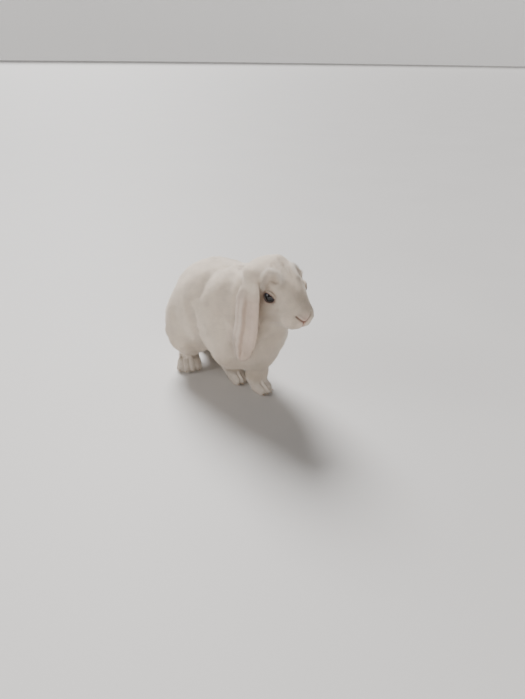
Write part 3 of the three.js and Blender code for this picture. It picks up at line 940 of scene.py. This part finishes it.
# ------------------------------------------------------------------ markings
@dataclass(frozen=True)
class Markings:
    """The coat's colours, with painted shade and painted light among them, laid on skin and tufts alike."""

    cream: tuple[float, float, float] = (0.83, 0.742, 0.635)
    ear: tuple[float, float, float] = (0.70, 0.575, 0.49)
    # painted light on the strip behind each ear's fold
    lit_ear_strip: tuple[float, float, float] = (0.80, 0.71, 0.63)
    # the ears' streaks and the thin fur round the eyes, and painted shade near the floor and in the brows'
    # hollows
    warm_tone_and_shade: tuple[float, float, float] = (0.70, 0.585, 0.48)
    # painted light on the feet and along the brows' ridges
    pale: tuple[float, float, float] = (0.87, 0.82, 0.755)
    pink: tuple[float, float, float] = (0.50, 0.27, 0.22)
    dark: tuple[float, float, float] = (0.17, 0.09, 0.07)
    # painted shade: the brown of crevices and of the ears' fold lines
    painted_shade_brown: tuple[float, float, float] = (0.40, 0.27, 0.19)
    spot: tuple[float, float, float] = (-15.1, -45.0, 21.1)

    def paint(self, skin: Skin) -> np.ndarray:
        """A colour for each vertex of the skin."""
        points = skin.points
        colour = np.tile(np.array(self.cream), (len(points), 1))
        # painted shade: warmer and darker towards the floor, except on the ears
        low = smooth_step(0.11, 0.02, points[:, 2]) * np.where(skin.wears(Region.FOOT), 0.08, 0.25)
        colour = self._blend(colour, self.warm_tone_and_shade, low * ~skin.wears(Region.EAR))
        colour = self._ears(colour, skin)
        colour = self._face(colour, skin)
        foot = skin.fabric.blurred(skin.wears(Region.FOOT).astype(float), 12)[:, 0]
        ear = skin.fabric.blurred(skin.wears(Region.EAR).astype(float), 4)[:, 0]
        # painted light: the feet paler
        colour = self._blend(colour, self.pale, 0.6 * foot)
        # painted shade: browner and darker where another part of the body lies close over the skin, less on
        # the feet and ears
        painted_shade_amount = 0.75 - 0.65 * foot - 0.45 * ear
        colour = self._blend(colour, self.painted_shade_brown, painted_shade_amount * self._closeness_for_painted_shade(skin))
        colour *= (1 + 0.02 * waves(points, 0.030, 3) + 0.015 * waves(points, 0.011, 4))[:, None]
        return np.clip(colour, 0.0, 0.95)

    @staticmethod
    def _closeness_for_painted_shade(skin: Skin) -> np.ndarray:
        """How close another part of the body lies over each vertex, 0 to 1: where painted shade darkens the
        fur.
        """
        tree = BVHTree.FromPolygons(skin.points.tolist(), [list(p.vertices) for p in skin.mesh.polygons])
        reach = 0.016
        closed = np.zeros(len(skin.points))
        for i, (place, way) in enumerate(zip(skin.points, skin.normals)):
            distance = tree.ray_cast(Vector(place + way * 0.0008), Vector(way), reach)[3]
            closed[i] = 0.0 if distance is None else 1.0 - distance / reach
        return skin.fabric.blurred(np.sqrt(closed), 6)[:, 0]

    @staticmethod
    def _blend(colour: np.ndarray, other: tuple[float, float, float], amount: np.ndarray) -> np.ndarray:
        """Colours drawn towards another by an amount at each vertex."""
        amount = np.clip(amount, 0, 1)[:, None]
        return colour * (1 - amount) + np.array(other) * amount

    def _ears(self, colour: np.ndarray, skin: Skin) -> np.ndarray:
        """Thin pinkish fur on the ears, in long streaks, with a paler strip at the back as painted light and
        two lines of painted shade along the fold.
        """
        points = skin.points
        for name in SIDES:
            is_ear, along, across = skin.on_ear(points, name)
            body = skin.fabric.blurred(smooth_step(0.10, 0.32, along) * is_ear, 40)[:, 0]
            colour = self._blend(colour, self.ear, body)
            drawn = np.stack([across * 0.02, points[:, 2] * 0.06, 0 * across], 1)
            streak = 0.5 + 0.5 * waves(drawn, 0.006, 9)
            colour = self._blend(colour, self.warm_tone_and_shade, 0.35 * streak * body)
            # painted light: the strip behind the fold paler, as lit from behind
            strip = smooth_step(0.26, 0.42, across) * body
            colour = self._blend(colour, self.lit_ear_strip, 0.85 * strip)
            # painted shade: two dark lines, one by the ear's groove and one behind its fold ridge
            fold_shade_lines = 0.40 * bell(across - 0.14, 0.12) + 0.30 * bell(across - 0.66, 0.07)
            colour = self._blend(colour, self.painted_shade_brown, fold_shade_lines * body)
        return colour

    def _face(self, colour: np.ndarray, skin: Skin) -> np.ndarray:
        """Pink nose and lips, dark slits painted as shade in the nostrils, the mouth's line and the lip's
        cleft, thin fur round the eyes, and a painted highlight along each brow over painted shade in its
        hollow.
        """
        local = skin.head.pose().inward(skin.points)
        x, y, z = local.T
        is_head = skin.wears(Region.HEAD)
        front = smooth_step(-42.0, -50.0, y) * is_head
        nose = bell(np.hypot(x / 1.25, z + 10.0), 6.5) * front
        lips = bell(to_segment(np.abs(x), z, (0.0, -24.5), (11.0, -28.5)), 3.0) * front
        cleft = bell(x, 2.2) * smooth_step(-9.0, -13.0, z) * smooth_step(-30.0, -25.0, z) * front
        colour = self._blend(colour, self.pink, 0.55 * nose + 0.22 * lips + 0.6 * cleft)
        # painted shade in the nostrils' slits, the mouth's line and the lip's cleft
        slits = bell(to_segment(np.abs(x), z, *NOSTRIL), 1.5)
        line = bell(to_segment(np.abs(x), z, (0.0, -24.5), (10.0, -27.5)), 0.9)
        painted_slit_shade = 0.95 * slits + 0.12 * line + 0.6 * bell(x, 0.9) * cleft
        colour = self._blend(colour, self.dark, painted_slit_shade * front)
        mark = bell(apart((skin.points - TRUNK_MIDDLE) / MM, self.spot), 2.6)
        colour = self._blend(colour, self.dark, 0.8 * mark)
        for side in SIDES.values():
            reach, past = skin.head.past_lids(local, side)
            colour = self._blend(colour, self.warm_tone_and_shade, 0.6 * smooth_step(12.5, 9.5, reach) * is_head)
            edge = smooth_step(math.radians(14), math.radians(3), past) * (reach < 13.0)
            colour = self._blend(colour, self.dark, 0.7 * edge * is_head)
            mirror = np.array([side, 1.0, 1.0])
            # painted highlight along the brow's ridge and painted shade in the hollow under it
            arch = bell(to_path(local * mirror, BROW_ARCH), 3.6)
            hollow = bell(to_path(local * mirror, BROW_HOLLOW), 4.8)
            colour = self._blend(colour, self.pale, 0.9 * arch * is_head)
            colour = self._blend(colour, self.warm_tone_and_shade, 0.95 * hollow * is_head)
        return colour


# ------------------------------------------------------------------ the coat
@dataclass
class Lie:
    """Which way the coat lies at each vertex of the skin."""

    skin: Skin

    def directions(self) -> np.ndarray:
        """Unit directions along the skin."""
        skin = self.skin
        points, normals, regions = skin.points, skin.normals, skin.regions
        way = np.tile(np.array([0.0, 1.0, 0.0]), (len(points), 1))
        sideways = np.abs(normals[:, 0])
        chest = smooth_step(-0.02, -0.055, points[:, 1]) * smooth_step(0.2, 0.9, -normals[:, 1])
        way[:, 2] -= 0.55 * sideways * smooth_step(0.19, 0.12, points[:, 2]) + 2.2 * chest
        haunch = smooth_step(0.05, 0.10, points[:, 1]) * smooth_step(0.14, 0.06, points[:, 2])
        way[:, 2] -= 0.9 * haunch
        way = self._limbs(way, points, regions)
        pose = skin.head.pose()
        from_nose = unit(points - pose.outward(np.array(skin.head.nose)))
        head = regions == Region.HEAD.value
        way[head] = from_nose[head] + np.array([0, 0, -0.12])
        way = skin.fabric.blurred(unit(way), 40)
        swirl = 0.30 * waves(points, 0.055, 21) + 0.22 * waves(points, 0.018, 22)
        way = unit(way - normals * (way * normals).sum(1, keepdims=True))
        across = np.cross(normals, way)
        calm = np.where(head | (regions == Region.FOOT.value), 0.5, 1.0)
        crown = bell(apart(pose.inward(points), (0.0, 6.0, 30.0)), 17.0)
        curls = 1.0 * waves(points, 0.009, 23) * crown
        return unit(way + across * (swirl * calm + curls)[:, None])

    @staticmethod
    def _limbs(way: np.ndarray, points: np.ndarray, regions: np.ndarray) -> np.ndarray:
        """Down the legs and ears, ahead over the paws, up the tail."""
        way[regions == Region.LEG.value] = (0.0, -0.1, -1.0)
        way[regions == Region.EAR.value] = (0.0, 0.12, -1.0)
        way[regions == Region.TAIL.value] = (0.0, 0.35, 1.0)
        for paw in PAWS.values():
            pose = paw.pose(TRUNK_MIDDLE)
            near = (apart(points, pose.at) < 0.06) & (regions == Region.FOOT.value)
            way[near] = pose.turned(np.array([0.0, -1.0, -0.25]))
        return way


@dataclass
class Roots:
    """Where a set of tufts grows, with everything interpolated from the skin."""

    place: np.ndarray
    normal: np.ndarray
    way: np.ndarray
    shade: np.ndarray
    size: np.ndarray
    region: np.ndarray
    spot: np.ndarray


# a tuft: two corners either side of its root, one over it and its tip; its back end, underside and outside
TUFT_FACES = np.array([[0, 2, 1], [0, 1, 3], [1, 2, 3], [2, 0, 3]])
# each corner's colour scale: darker at the root, painted shade deep in the coat, and lightest at the tip
TUFT_SHADE_TONES = np.array([0.86, 0.86, 0.90, 1.04])
TUFT_PATCH = np.array([[-1.0, -1.0], [1.0, -1.0], [0.0, -1.0], [0.0, 1.0]])


@dataclass
class Coat:
    """The fur: solid tufts over the skin, in pieces by region."""

    skin: Skin
    colours: np.ndarray
    seed: int = 11
    most: int = 196_000
    clump: float = 0.012
    stray: float = 0.16
    bend: float = 0.07
    sunk: float = 0.3
    over_floor: float = 0.0003
    patch: float = 0.003
    roots: Roots = None

    def build(self, material: bpy.types.Material) -> list[bpy.types.Object]:
        """Builds every piece of the coat."""
        self.roots = self._grow()
        made = []
        for name, chosen in self._pieces():
            made.append(self._piece(name, chosen, material))
        return made

    def _sizes(self) -> np.ndarray:
        """Depth, length, width and density for each vertex of the skin."""
        skin = self.skin
        columns = [skin._per_region(skin.regions, n) for n in ("depth", "length", "width", "density")]
        sizes = skin.fabric.blurred(np.stack(columns, axis=1), 45)
        local = skin.head.pose().inward(skin.points)
        is_head = skin.wears(Region.HEAD)
        muzzle = bell(apart(local, skin.head.nose), 26.0) * is_head
        sizes[:, 0] *= 1 - 0.75 * muzzle
        sizes[:, 1] *= 1 - 0.55 * muzzle
        sizes[:, 2] *= 1 - 0.35 * muzzle
        sizes[:, 3] *= 1 + 0.35 * muzzle
        front = smooth_step(-46.0, -52.0, local[:, 1]) * is_head
        bare = bell(np.hypot(local[:, 0] / 1.3, local[:, 2] + 11.0), 5.0) * front
        x, z = np.abs(local[:, 0]), local[:, 2]
        lips = bell(to_segment(x, z, *MOUTH), 2.6)
        lips = lips * smooth_step(-38.0, -46.0, local[:, 1]) * is_head
        slits = bell(to_segment(x, z, *NOSTRIL), 2.4) * front
        sizes[:, :3] *= (1 - np.maximum(0.55 * lips, 0.6 * slits))[:, None]
        sizes[:, 3] *= 1 - 0.9 * bare
        for side in SIDES.values():
            reach, past = skin.head.past_lids(local, side)
            small = 1 - 0.6 * bell(np.maximum(reach - 8.0, 0), 6.0)
            sizes[:, :3] *= np.where(is_head, small, 1.0)[:, None]
            sizes[:, 3] *= np.where(is_head, 1 + 1.3 * (1 - small), 1.0)
            inside = (reach < 12.5) & (past < math.radians(3))
            sizes[:, 3] *= np.where(inside, 0.0, 1.0)
            arch = bell(to_path(local * np.array([side, 1.0, 1.0]), BROW_ARCH), 4.0) * is_head
            sizes[:, 0] *= 1 + 0.25 * arch
            sizes[:, 1] *= 1 + 0.15 * arch
        sizes[:, 3] *= skin.points[:, 2] > 0.0012
        return sizes

    def _grow(self) -> Roots:
        """Chooses the tufts' roots over the whole skin."""
        skin, mesh = self.skin, self.skin.mesh
        mesh.calc_loop_triangles()
        count = len(mesh.loop_triangles)
        corners = np.zeros(count * 3, dtype=np.int32)
        loops = np.zeros(count * 3, dtype=np.int32)
        mesh.loop_triangles.foreach_get("vertices", corners)
        mesh.loop_triangles.foreach_get("loops", loops)
        corners, loops = corners.reshape(-1, 3), loops.reshape(-1, 3)
        unwrap = np.zeros(len(mesh.loops) * 2, dtype=np.float32)
        mesh.uv_layers["OFBake"].data.foreach_get("uv", unwrap)
        unwrap = unwrap.reshape(-1, 2)
        p = skin.points
        a, b, c = (p[corners[:, i]] for i in range(3))
        area = np.linalg.norm(np.cross(b - a, c - a), axis=1) / 2 / MM ** 2
        sizes = self._sizes()
        wanted = area * sizes[corners, 3].mean(axis=1)
        rng = np.random.default_rng(self.seed)
        whole = np.floor(np.cumsum(wanted) + rng.uniform()).astype(int)
        number = np.diff(np.concatenate([[0], whole]))
        chosen = np.repeat(np.arange(count), number)
        r1, r2 = np.sqrt(rng.uniform(size=len(chosen))), rng.uniform(size=len(chosen))
        weight = np.stack([1 - r1, r1 * (1 - r2), r1 * r2], axis=1)[:, :, None]

        def at_root(values: np.ndarray, index: np.ndarray = corners) -> np.ndarray:
            """Values at the roots, from the corners of their triangles."""
            return (values[index[chosen]] * weight).sum(axis=1)

        way = Lie(skin).directions()
        return Roots(
            at_root(p), unit(at_root(skin.normals)), unit(at_root(way)), at_root(self.colours),
            at_root(sizes), skin.regions[corners[chosen, 0]], at_root(unwrap, loops))

    def _pieces(self) -> list[tuple[str, np.ndarray]]:
        """The coat's pieces, each with the numbers of the roots that belong to it."""
        region, place = self.roots.region, self.roots.place
        left = place[:, 0] > 0
        parts = {
            Region.HEAD: ("face", apart(place, self.skin.head.pose().at)),
            Region.TRUNK: ("body", place[:, 1]),
            Region.EAR: ("ear", place[:, 2]),
            Region.LEG: ("leg", place[:, 1]),
            Region.FOOT: ("foot", place[:, 1]),
            Region.TAIL: ("tail", place[:, 1]),
        }
        made = []
        for kind, (name, along) in parts.items():
            for side, half in (("left", left), ("right", ~left)):
                chosen = (region == kind.value) & half
                total = int(chosen.sum())
                shares = max(1, math.ceil(total * len(TUFT_FACES) / self.most))
                order = np.argsort(np.where(chosen, along, np.inf), kind="stable")[:total]
                for i, part in enumerate(np.array_split(order, shares)):
                    made.append((f"coat_{name}_{side}_{i + 1}", np.sort(part)))
        return made

    def _piece(self, name: str, chosen: np.ndarray, material: bpy.types.Material) -> bpy.types.Object:
        """One joined mesh of tufts.

        Args:
            name: the piece's name.
            chosen: which roots its tufts grow from.
            material: the finish.

        Returns:
            The object.
        """
        roots, n = self.roots, len(chosen)
        rng = np.random.default_rng(self.seed + len(name) + n)
        place, normal, way = roots.place[chosen], roots.normal[chosen], roots.way[chosen]
        depth, length, width = (roots.size[chosen, i] * MM for i in range(3))
        clump = waves(place, self.clump, 31)
        way = unit(way + np.cross(normal, way) * rng.normal(0, self.stray, n)[:, None])
        across = np.cross(normal, way)
        length = length * rng.uniform(0.7, 1.15, n) * (1 + 0.10 * clump)
        height = np.minimum(depth * rng.uniform(0.62, 1.02, n) * (1 + 0.10 * clump), length * 0.6)
        run = np.sqrt(np.maximum(length ** 2 - height ** 2, 1e-10))
        wide = (width * rng.uniform(0.7, 1.25, n))[:, None]
        bend = rng.normal(0, self.bend, n)[:, None] * length[:, None]
        root = place - normal * self.sunk * MM
        corners = np.stack([
            root - across * wide * 0.5, root + across * wide * 0.5, root + normal * wide * 0.36,
            root + way * run[:, None] + normal * height[:, None] + across * bend], axis=1)
        corners[:, :, 2] = np.maximum(corners[:, :, 2], self.over_floor)
        shade = roots.shade[chosen] * rng.normal(1.0, 0.03, n)[:, None]
        colour = np.ones((n, 4, 4))
        colour[:, :, :3] = np.clip(shade[:, None, :] * TUFT_SHADE_TONES[None, :, None], 0, 0.97)
        spot = roots.spot[chosen][:, None, :] + TUFT_PATCH[None, :, :] * self.patch / 2
        every = (TUFT_FACES[None] + (np.arange(n) * 4)[:, None, None]).reshape(-1, 3)
        soft = self._tuft_normals(normal, way, across)
        made = mesh_object(
            name, corners.reshape(-1, 3), every, soft, colour.reshape(-1, 4), spot.reshape(-1, 2), material)
        self._sharpen(made.data)
        return made

    @staticmethod
    def _sharpen(mesh: bpy.types.Mesh) -> None:
        """Marks the edges where a tuft's outside meets its underside or its back end."""
        ends = np.zeros(len(mesh.edges) * 2, dtype=np.int32)
        mesh.edges.foreach_get("vertices", ends)
        low, high = np.sort(ends.reshape(-1, 2) % 4, axis=1).T
        marks = mesh.attributes.new("sharp_edge", "BOOLEAN", "EDGE")
        marks.data.foreach_set("value", (low != 2) | (high != 3))

    @staticmethod
    def _tuft_normals(normal: np.ndarray, way: np.ndarray, across: np.ndarray) -> np.ndarray:
        """Shading normals at every tuft's face corners: mostly the skin's own, so that the coat reads as one.

        Args:
            normal: the skin's normals at the roots.
            way: the way that each tuft lies.
            across: the direction across each tuft.

        Returns:
            One row for each corner of each face.
        """
        lean = (-0.45, 0.45, 0.0, 0.0)
        out = np.zeros((len(normal), 4, 3, 3))
        for i, face in enumerate(TUFT_FACES):
            for k, corner in enumerate(face):
                side = across * lean[corner]
                out[:, i, k] = (-way, -normal + side + way * 0.3, normal + side + way * 0.08)[min(i, 2)]
        return unit(out.reshape(-1, 3))


def mesh_object(
    name: str, points: np.ndarray, faces: np.ndarray, normals: np.ndarray | None, colour: np.ndarray,
    spot: np.ndarray, material: bpy.types.Material,
) -> bpy.types.Object:
    """A mesh object from arrays of triangles.

    Args:
        name: the piece's name.
        points: vertices in metres.
        faces: vertex numbers, three to a row.
        normals: shading normals at the faces' corners, or None for the faces' own.
        colour: the markings at the vertices.
        spot: places on the unwrap at the vertices.
        material: the finish.

    Returns:
        The object, linked to the scene.
    """
    mesh = bpy.data.meshes.new(name)
    mesh.vertices.add(len(points))
    mesh.vertices.foreach_set("co", points.astype(np.float32).ravel())
    mesh.loops.add(faces.size)
    mesh.loops.foreach_set("vertex_index", faces.astype(np.int32).ravel())
    mesh.polygons.add(len(faces))
    mesh.polygons.foreach_set("loop_start", np.arange(0, faces.size, 3, dtype=np.int32))
    mesh.update(calc_edges=True)
    layer = mesh.uv_layers.new(name="OFBake")
    layer.data.foreach_set("uv", spot[faces.ravel()].astype(np.float32).ravel())
    shade = mesh.color_attributes.new(name="shade", type="FLOAT_COLOR", domain="POINT")
    shade.data.foreach_set("color", colour.astype(np.float32).ravel())
    mesh.polygons.foreach_set("use_smooth", np.ones(len(faces), dtype=bool))
    if normals is not None:
        free = mesh.attributes.new("custom_normal", "FLOAT_VECTOR", "CORNER")
        free.data.foreach_set("vector", normals.astype(np.float32).ravel())
    mesh.materials.append(material)
    return linked(name, mesh)


# ------------------------------------------------------------------ eyes, lids, whiskers
@dataclass
class Eyes:
    """Both eyes: a ball with a raised cornea, and a bare rim of lid round its opening."""

    head: HeadPlan
    rim: float = 0.5

    def build(self, eye_finish: bpy.types.Material, rim_finish: bpy.types.Material) -> list[bpy.types.Object]:
        """Builds eyes and rims."""
        made = []
        for name, side in SIDES.items():
            ball = self._ball(name, side)
            ball.data.materials.append(eye_finish)
            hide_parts(f"eye_{name}")
            lid = self._lid(name, side)
            lid.data.materials.append(rim_finish)
            made += [ball, lid]
        return made

    def _placed(self, shape: bmesh.types.BMesh, name: str, side: float) -> bpy.types.Object:
        """A shape made about +X moved into the head, as an object."""
        pose = self.head.pose()
        axes = self.head.eye_axes(side)
        turned = pose.axes @ np.stack([axes[:, 0], axes[:, 2] * side, axes[:, 1]], axis=1)
        matrix = Matrix(turned.tolist()).to_4x4()
        matrix.translation = Vector(pose.outward(self.head.eye_place(side)))
        bmesh.ops.transform(shape, matrix=matrix, verts=shape.verts)
        bmesh.ops.recalc_face_normals(shape, faces=shape.faces)
        mesh = bpy.data.meshes.new(name)
        shape.to_mesh(mesh)
        shape.free()
        mesh.polygons.foreach_set("use_smooth", [True] * len(mesh.polygons))
        return linked(name, mesh)

    def _ball(self, name: str, side: float) -> bpy.types.Object:
        """An eyeball, its cornea a little proud where the eye looks."""
        ball = bmesh.new()
        axes = self.head.eye_axes(side)
        gaze = np.array([side * self.head.gaze[0], self.head.gaze[1], self.head.gaze[2]])
        out, up, ahead = unit(gaze) @ axes
        look = Vector((out, ahead * side, up))
        turn = look.to_track_quat("Z", "Y").to_matrix().to_4x4()
        bmesh.ops.create_uvsphere(
            ball, u_segments=48, v_segments=40, radius=self.head.eye_radius * MM, matrix=turn)
        reach = ball.verts.layers.float.new("reach")
        for vert in ball.verts:
            angle = vert.co.angle(look)
            vert[reach] = min(angle / math.radians(90), 1.0)
            vert.co *= 1 + 0.05 * float(smooth_step(0.85, 0.15, np.array(angle)))
        return self._placed(ball, f"eyeball_{name}", side)

    def _lid(self, name: str, side: float) -> bpy.types.Object:
        """A thin closed roll along the lids' edge, spun round the eye's axis and drawn to an almond."""
        roll = bmesh.new()
        away = self.head.eye_radius * MM
        ring = bmesh.ops.create_circle(
            roll, segments=10, radius=self.rim * MM,
            matrix=Matrix.Translation((0, 0, away)) @ Matrix.Rotation(math.radians(90), 4, "Y")
            @ Matrix.Rotation(math.radians(90), 4, "X"))
        bmesh.ops.spin(
            roll, geom=roll.edges[:] + ring["verts"], cent=(0, 0, 0), axis=(1, 0, 0),
            angle=2 * math.pi, steps=72, use_merge=True)
        bmesh.ops.remove_doubles(roll, verts=roll.verts, dist=1e-6)
        for vert in roll.verts:
            turn = math.atan2(vert.co.z, side * vert.co.y)
            angle = float(self.head.lid_angle(np.array(turn))) + math.radians(1.5)
            across = math.hypot(vert.co.y, vert.co.z) - away
            reach = away + 0.0003 + vert.co.x
            bend = angle + across / away
            vert.co = Vector((
                reach * math.cos(bend), reach * math.sin(bend) * math.cos(turn) * side,
                reach * math.sin(bend) * math.sin(turn)))
        return self._placed(roll, f"lid_{name}", side)


@dataclass
class Whiskers:
    """Fine whiskers from both sides of the muzzle."""

    head: HeadPlan
    count: int = 13
    length: float = 34.0
    root: float = 0.16
    seed: int = 5

    def build(self, material: bpy.types.Material) -> bpy.types.Object:
        """All whiskers as one piece."""
        rng = np.random.default_rng(self.seed)
        pose = self.head.pose()
        starts, ways = [], []
        for side in SIDES.values():
            for i in range(self.count):
                row, place = i % 4, i // 4
                starts.append([side * (15.5 + 1.2 * place), -51.0 + 3.6 * place, -11.0 - 3.4 * row])
                ways.append([side * 1.0, 0.55 + 0.25 * place + rng.normal(0, 0.08), 0.30 - 0.24 * row])
        starts, ways = np.array(starts), unit(np.array(ways))
        n, rings = len(starts), 6
        t = np.linspace(0, 1, rings + 1)
        length = self.length * rng.uniform(0.6, 1.0, n)
        sag = np.array([0.0, 0.25, -0.45])
        path = starts[:, None, :] + ways[:, None, :] * (length[:, None] * t)[:, :, None]
        path = path + sag * (length[:, None] * t ** 2)[:, :, None] * 0.5
        path = pose.outward(path.reshape(-1, 3)).reshape(n, rings + 1, 3)
        along = unit(path[:, 1] - path[:, 0])
        side_way = unit(np.cross(along, UP))
        rise = np.cross(side_way, along)
        vertices = np.zeros((n, rings * 3 + 1, 3))
        for ring in range(rings):
            width = self.root * MM * (1 - 0.8 * t[ring])
            for k in range(3):
                turn = 2 * math.pi * k / 3
                vertices[:, ring * 3 + k] = path[:, ring] + width * (
                    side_way * math.cos(turn) + rise * math.sin(turn))
        vertices[:, -1] = path[:, -1]
        faces = [[0, 1, 2]]
        for ring in range(rings - 1):
            for k in range(3):
                a, b = ring * 3 + k, ring * 3 + (k + 1) % 3
                faces += [[a, a + 3, b + 3], [a, b + 3, b]]
        last = (rings - 1) * 3
        faces += [[last + k, rings * 3, last + (k + 1) % 3] for k in range(3)]
        size = rings * 3 + 1
        every = (np.array(faces)[None] + (np.arange(n) * size)[:, None, None]).reshape(-1, 3)
        colour = np.ones((n * size, 4))
        spot = np.repeat(np.stack([np.linspace(0.1, 0.9, n), np.full(n, 0.5)], 1), size, axis=0)
        return mesh_object("whiskers", vertices.reshape(-1, 3), every, None, colour, spot, material)


# ------------------------------------------------------------------ floor, light and camera
@dataclass(frozen=True)
class Studio:
    """A plain pale floor, soft light and the camera."""

    camera_at: tuple[float, float, float] = (-489.0, -581.0, 462.0)
    turn: float = 45.0
    down: float = 29.173
    roll: float = 0.693
    focal: float = 530.07
    long_side: float = 699.0
    aim: float = 0.12
    sky_way: tuple[float, float, float] = (-0.7, -1.5, -1.6)
    sky_strength: float = 5.5
    sky_width: float = 28.0
    room: float = 0.12
    floor_reach: float = 40.0
    wall_reach: float = 35.0
    wall_height: float = 8.0

    def build(self, floor_finish: bpy.types.Material, wall_finish: bpy.types.Material) -> None:
        """Makes the floor, the far wall, the lights and the camera."""
        sheet, ring = bmesh.new(), bmesh.new()
        bmesh.ops.create_grid(sheet, x_segments=8, y_segments=8, size=self.floor_reach)
        bmesh.ops.create_cone(
            ring, cap_ends=False, segments=96, radius1=self.wall_reach, radius2=self.wall_reach,
            depth=self.wall_height, matrix=Matrix.Translation((0, 0, self.wall_height / 2)))
        self._surround("floor", sheet, floor_finish)
        self._surround("wall", ring, wall_finish)
        self._lights()
        self._camera()

    def _surround(self, name: str, shape: bmesh.types.BMesh, finish: bpy.types.Material) -> None:
        """A large plain surface of the studio."""
        mesh = bpy.data.meshes.new(name)
        shape.to_mesh(mesh)
        shape.free()
        mesh.materials.append(finish)
        linked(name, mesh)

    def _lamp(self, name: str, at: tuple[float, float, float], size: float, watts: float,
              colour: tuple[float, float, float]) -> None:
        """A square soft light aimed at the rabbit's middle."""
        data = bpy.data.lights.new(name, "AREA")
        data.size, data.energy, data.color = size, watts, colour
        lamp = linked(name, data)
        lamp.location = at
        aim = Vector((0, 0, self.aim)) - Vector(at)
        lamp.rotation_euler = aim.to_track_quat("-Z", "Y").to_euler()

    def _lights(self) -> None:
        """A broad even light from behind, weaker ones beside and in front, and a soft room."""
        sky = bpy.data.lights.new("sky", "SUN")
        sky.energy, sky.angle = self.sky_strength, math.radians(self.sky_width)
        sky.color = (1.0, 0.985, 0.975)
        linked("sky", sky).rotation_euler = Vector(self.sky_way).to_track_quat("-Z", "Y").to_euler()
        self._lamp("beside", (-1.6, 1.0, 1.1), 1.0, 15.0, (1.0, 0.97, 0.94))
        self._lamp("fill", (-1.4, -1.5, 1.0), 1.6, 4.0, (1.0, 0.88, 0.78))
        world = bpy.data.worlds.new("room")
        world.use_nodes = True
        background = world.node_tree.nodes["Background"]
        background.inputs[0].default_value = (0.95, 0.93, 0.92, 1.0)
        background.inputs[1].default_value = self.room
        bpy.context.scene.world = world

    def _camera(self) -> None:
        """The camera, set by where it stands and how it looks."""
        data = bpy.data.cameras.new("camera")
        data.sensor_width = 36.0
        data.sensor_fit = "AUTO"
        data.lens = self.focal / self.long_side * 36.0
        data.clip_start, data.clip_end = 0.02, 90.0
        turn, down, roll = (math.radians(v) for v in (self.turn, self.down, self.roll))
        ahead = np.array([math.sin(turn), math.cos(turn), 0.0])
        right = np.array([math.cos(turn), -math.sin(turn), 0.0])
        look = ahead * math.cos(down) - UP * math.sin(down)
        below = -ahead * math.sin(down) - UP * math.cos(down)
        x_axis = right * math.cos(roll) - below * math.sin(roll)
        y_axis = right * math.sin(roll) + below * math.cos(roll)
        rows = np.stack([x_axis, -y_axis, -look], axis=1)
        camera = linked("camera", data)
        camera.matrix_world = Matrix.Translation(
            Vector(np.array(self.camera_at) * MM + TRUNK_MIDDLE)) @ Matrix(rows.tolist()).to_4x4()
        bpy.context.scene.camera = camera


# ------------------------------------------------------------------ the whole rabbit
def main() -> None:
    """Builds the rabbit and its studio."""
    head = HeadPlan()
    coat_finish = CoatFinish().material()
    skin = Skin(head)
    body = skin.build()
    body.data.materials.append(SkinFinish().material())
    colours = Markings().paint(skin)
    shade = body.data.color_attributes.new(name="shade", type="FLOAT_COLOR", domain="POINT")
    painted = np.hstack([colours, np.ones((len(colours), 1))])
    shade.data.foreach_set("color", painted.astype(np.float32).ravel())
    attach(body, "root")
    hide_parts(*FLESH)
    log.info("skin: %d faces", len(body.data.polygons))
    for piece in Coat(skin, colours).build(coat_finish):
        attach(piece, "root")
        log.info("%s: %d triangles", piece.name, len(piece.data.polygons))
    rim = PlainFinish("lid_rim", (0.085, 0.05, 0.045), (0.15, 0.085, 0.075), 900.0, 0.38).material()
    for piece in Eyes(head).build(EyeFinish().material(), rim):
        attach(piece, "root")
        log.info("%s: %d faces", piece.name, len(piece.data.polygons))
    hair = PlainFinish("whisker", (0.85, 0.82, 0.78), (0.75, 0.70, 0.66), 60.0, 0.35).material()
    whiskers = Whiskers(head).build(hair)
    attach(whiskers, "root")
    horn = PlainFinish("horn", (0.42, 0.30, 0.22), (0.60, 0.47, 0.38), 400.0, 0.36, 0.15).material()
    for name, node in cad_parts.items():
        if name.startswith("claw"):
            node.data.materials.clear()
            node.data.materials.append(horn)
    Studio().build(
        PlainFinish("floor", (0.66, 0.648, 0.635), (0.71, 0.70, 0.687), 3.0, 0.55).material(),
        PlainFinish("wall", (0.70, 0.688, 0.675), (0.72, 0.708, 0.695), 0.1, 0.8, glow=0.72).material())


if __name__ == "__main__":
    main()
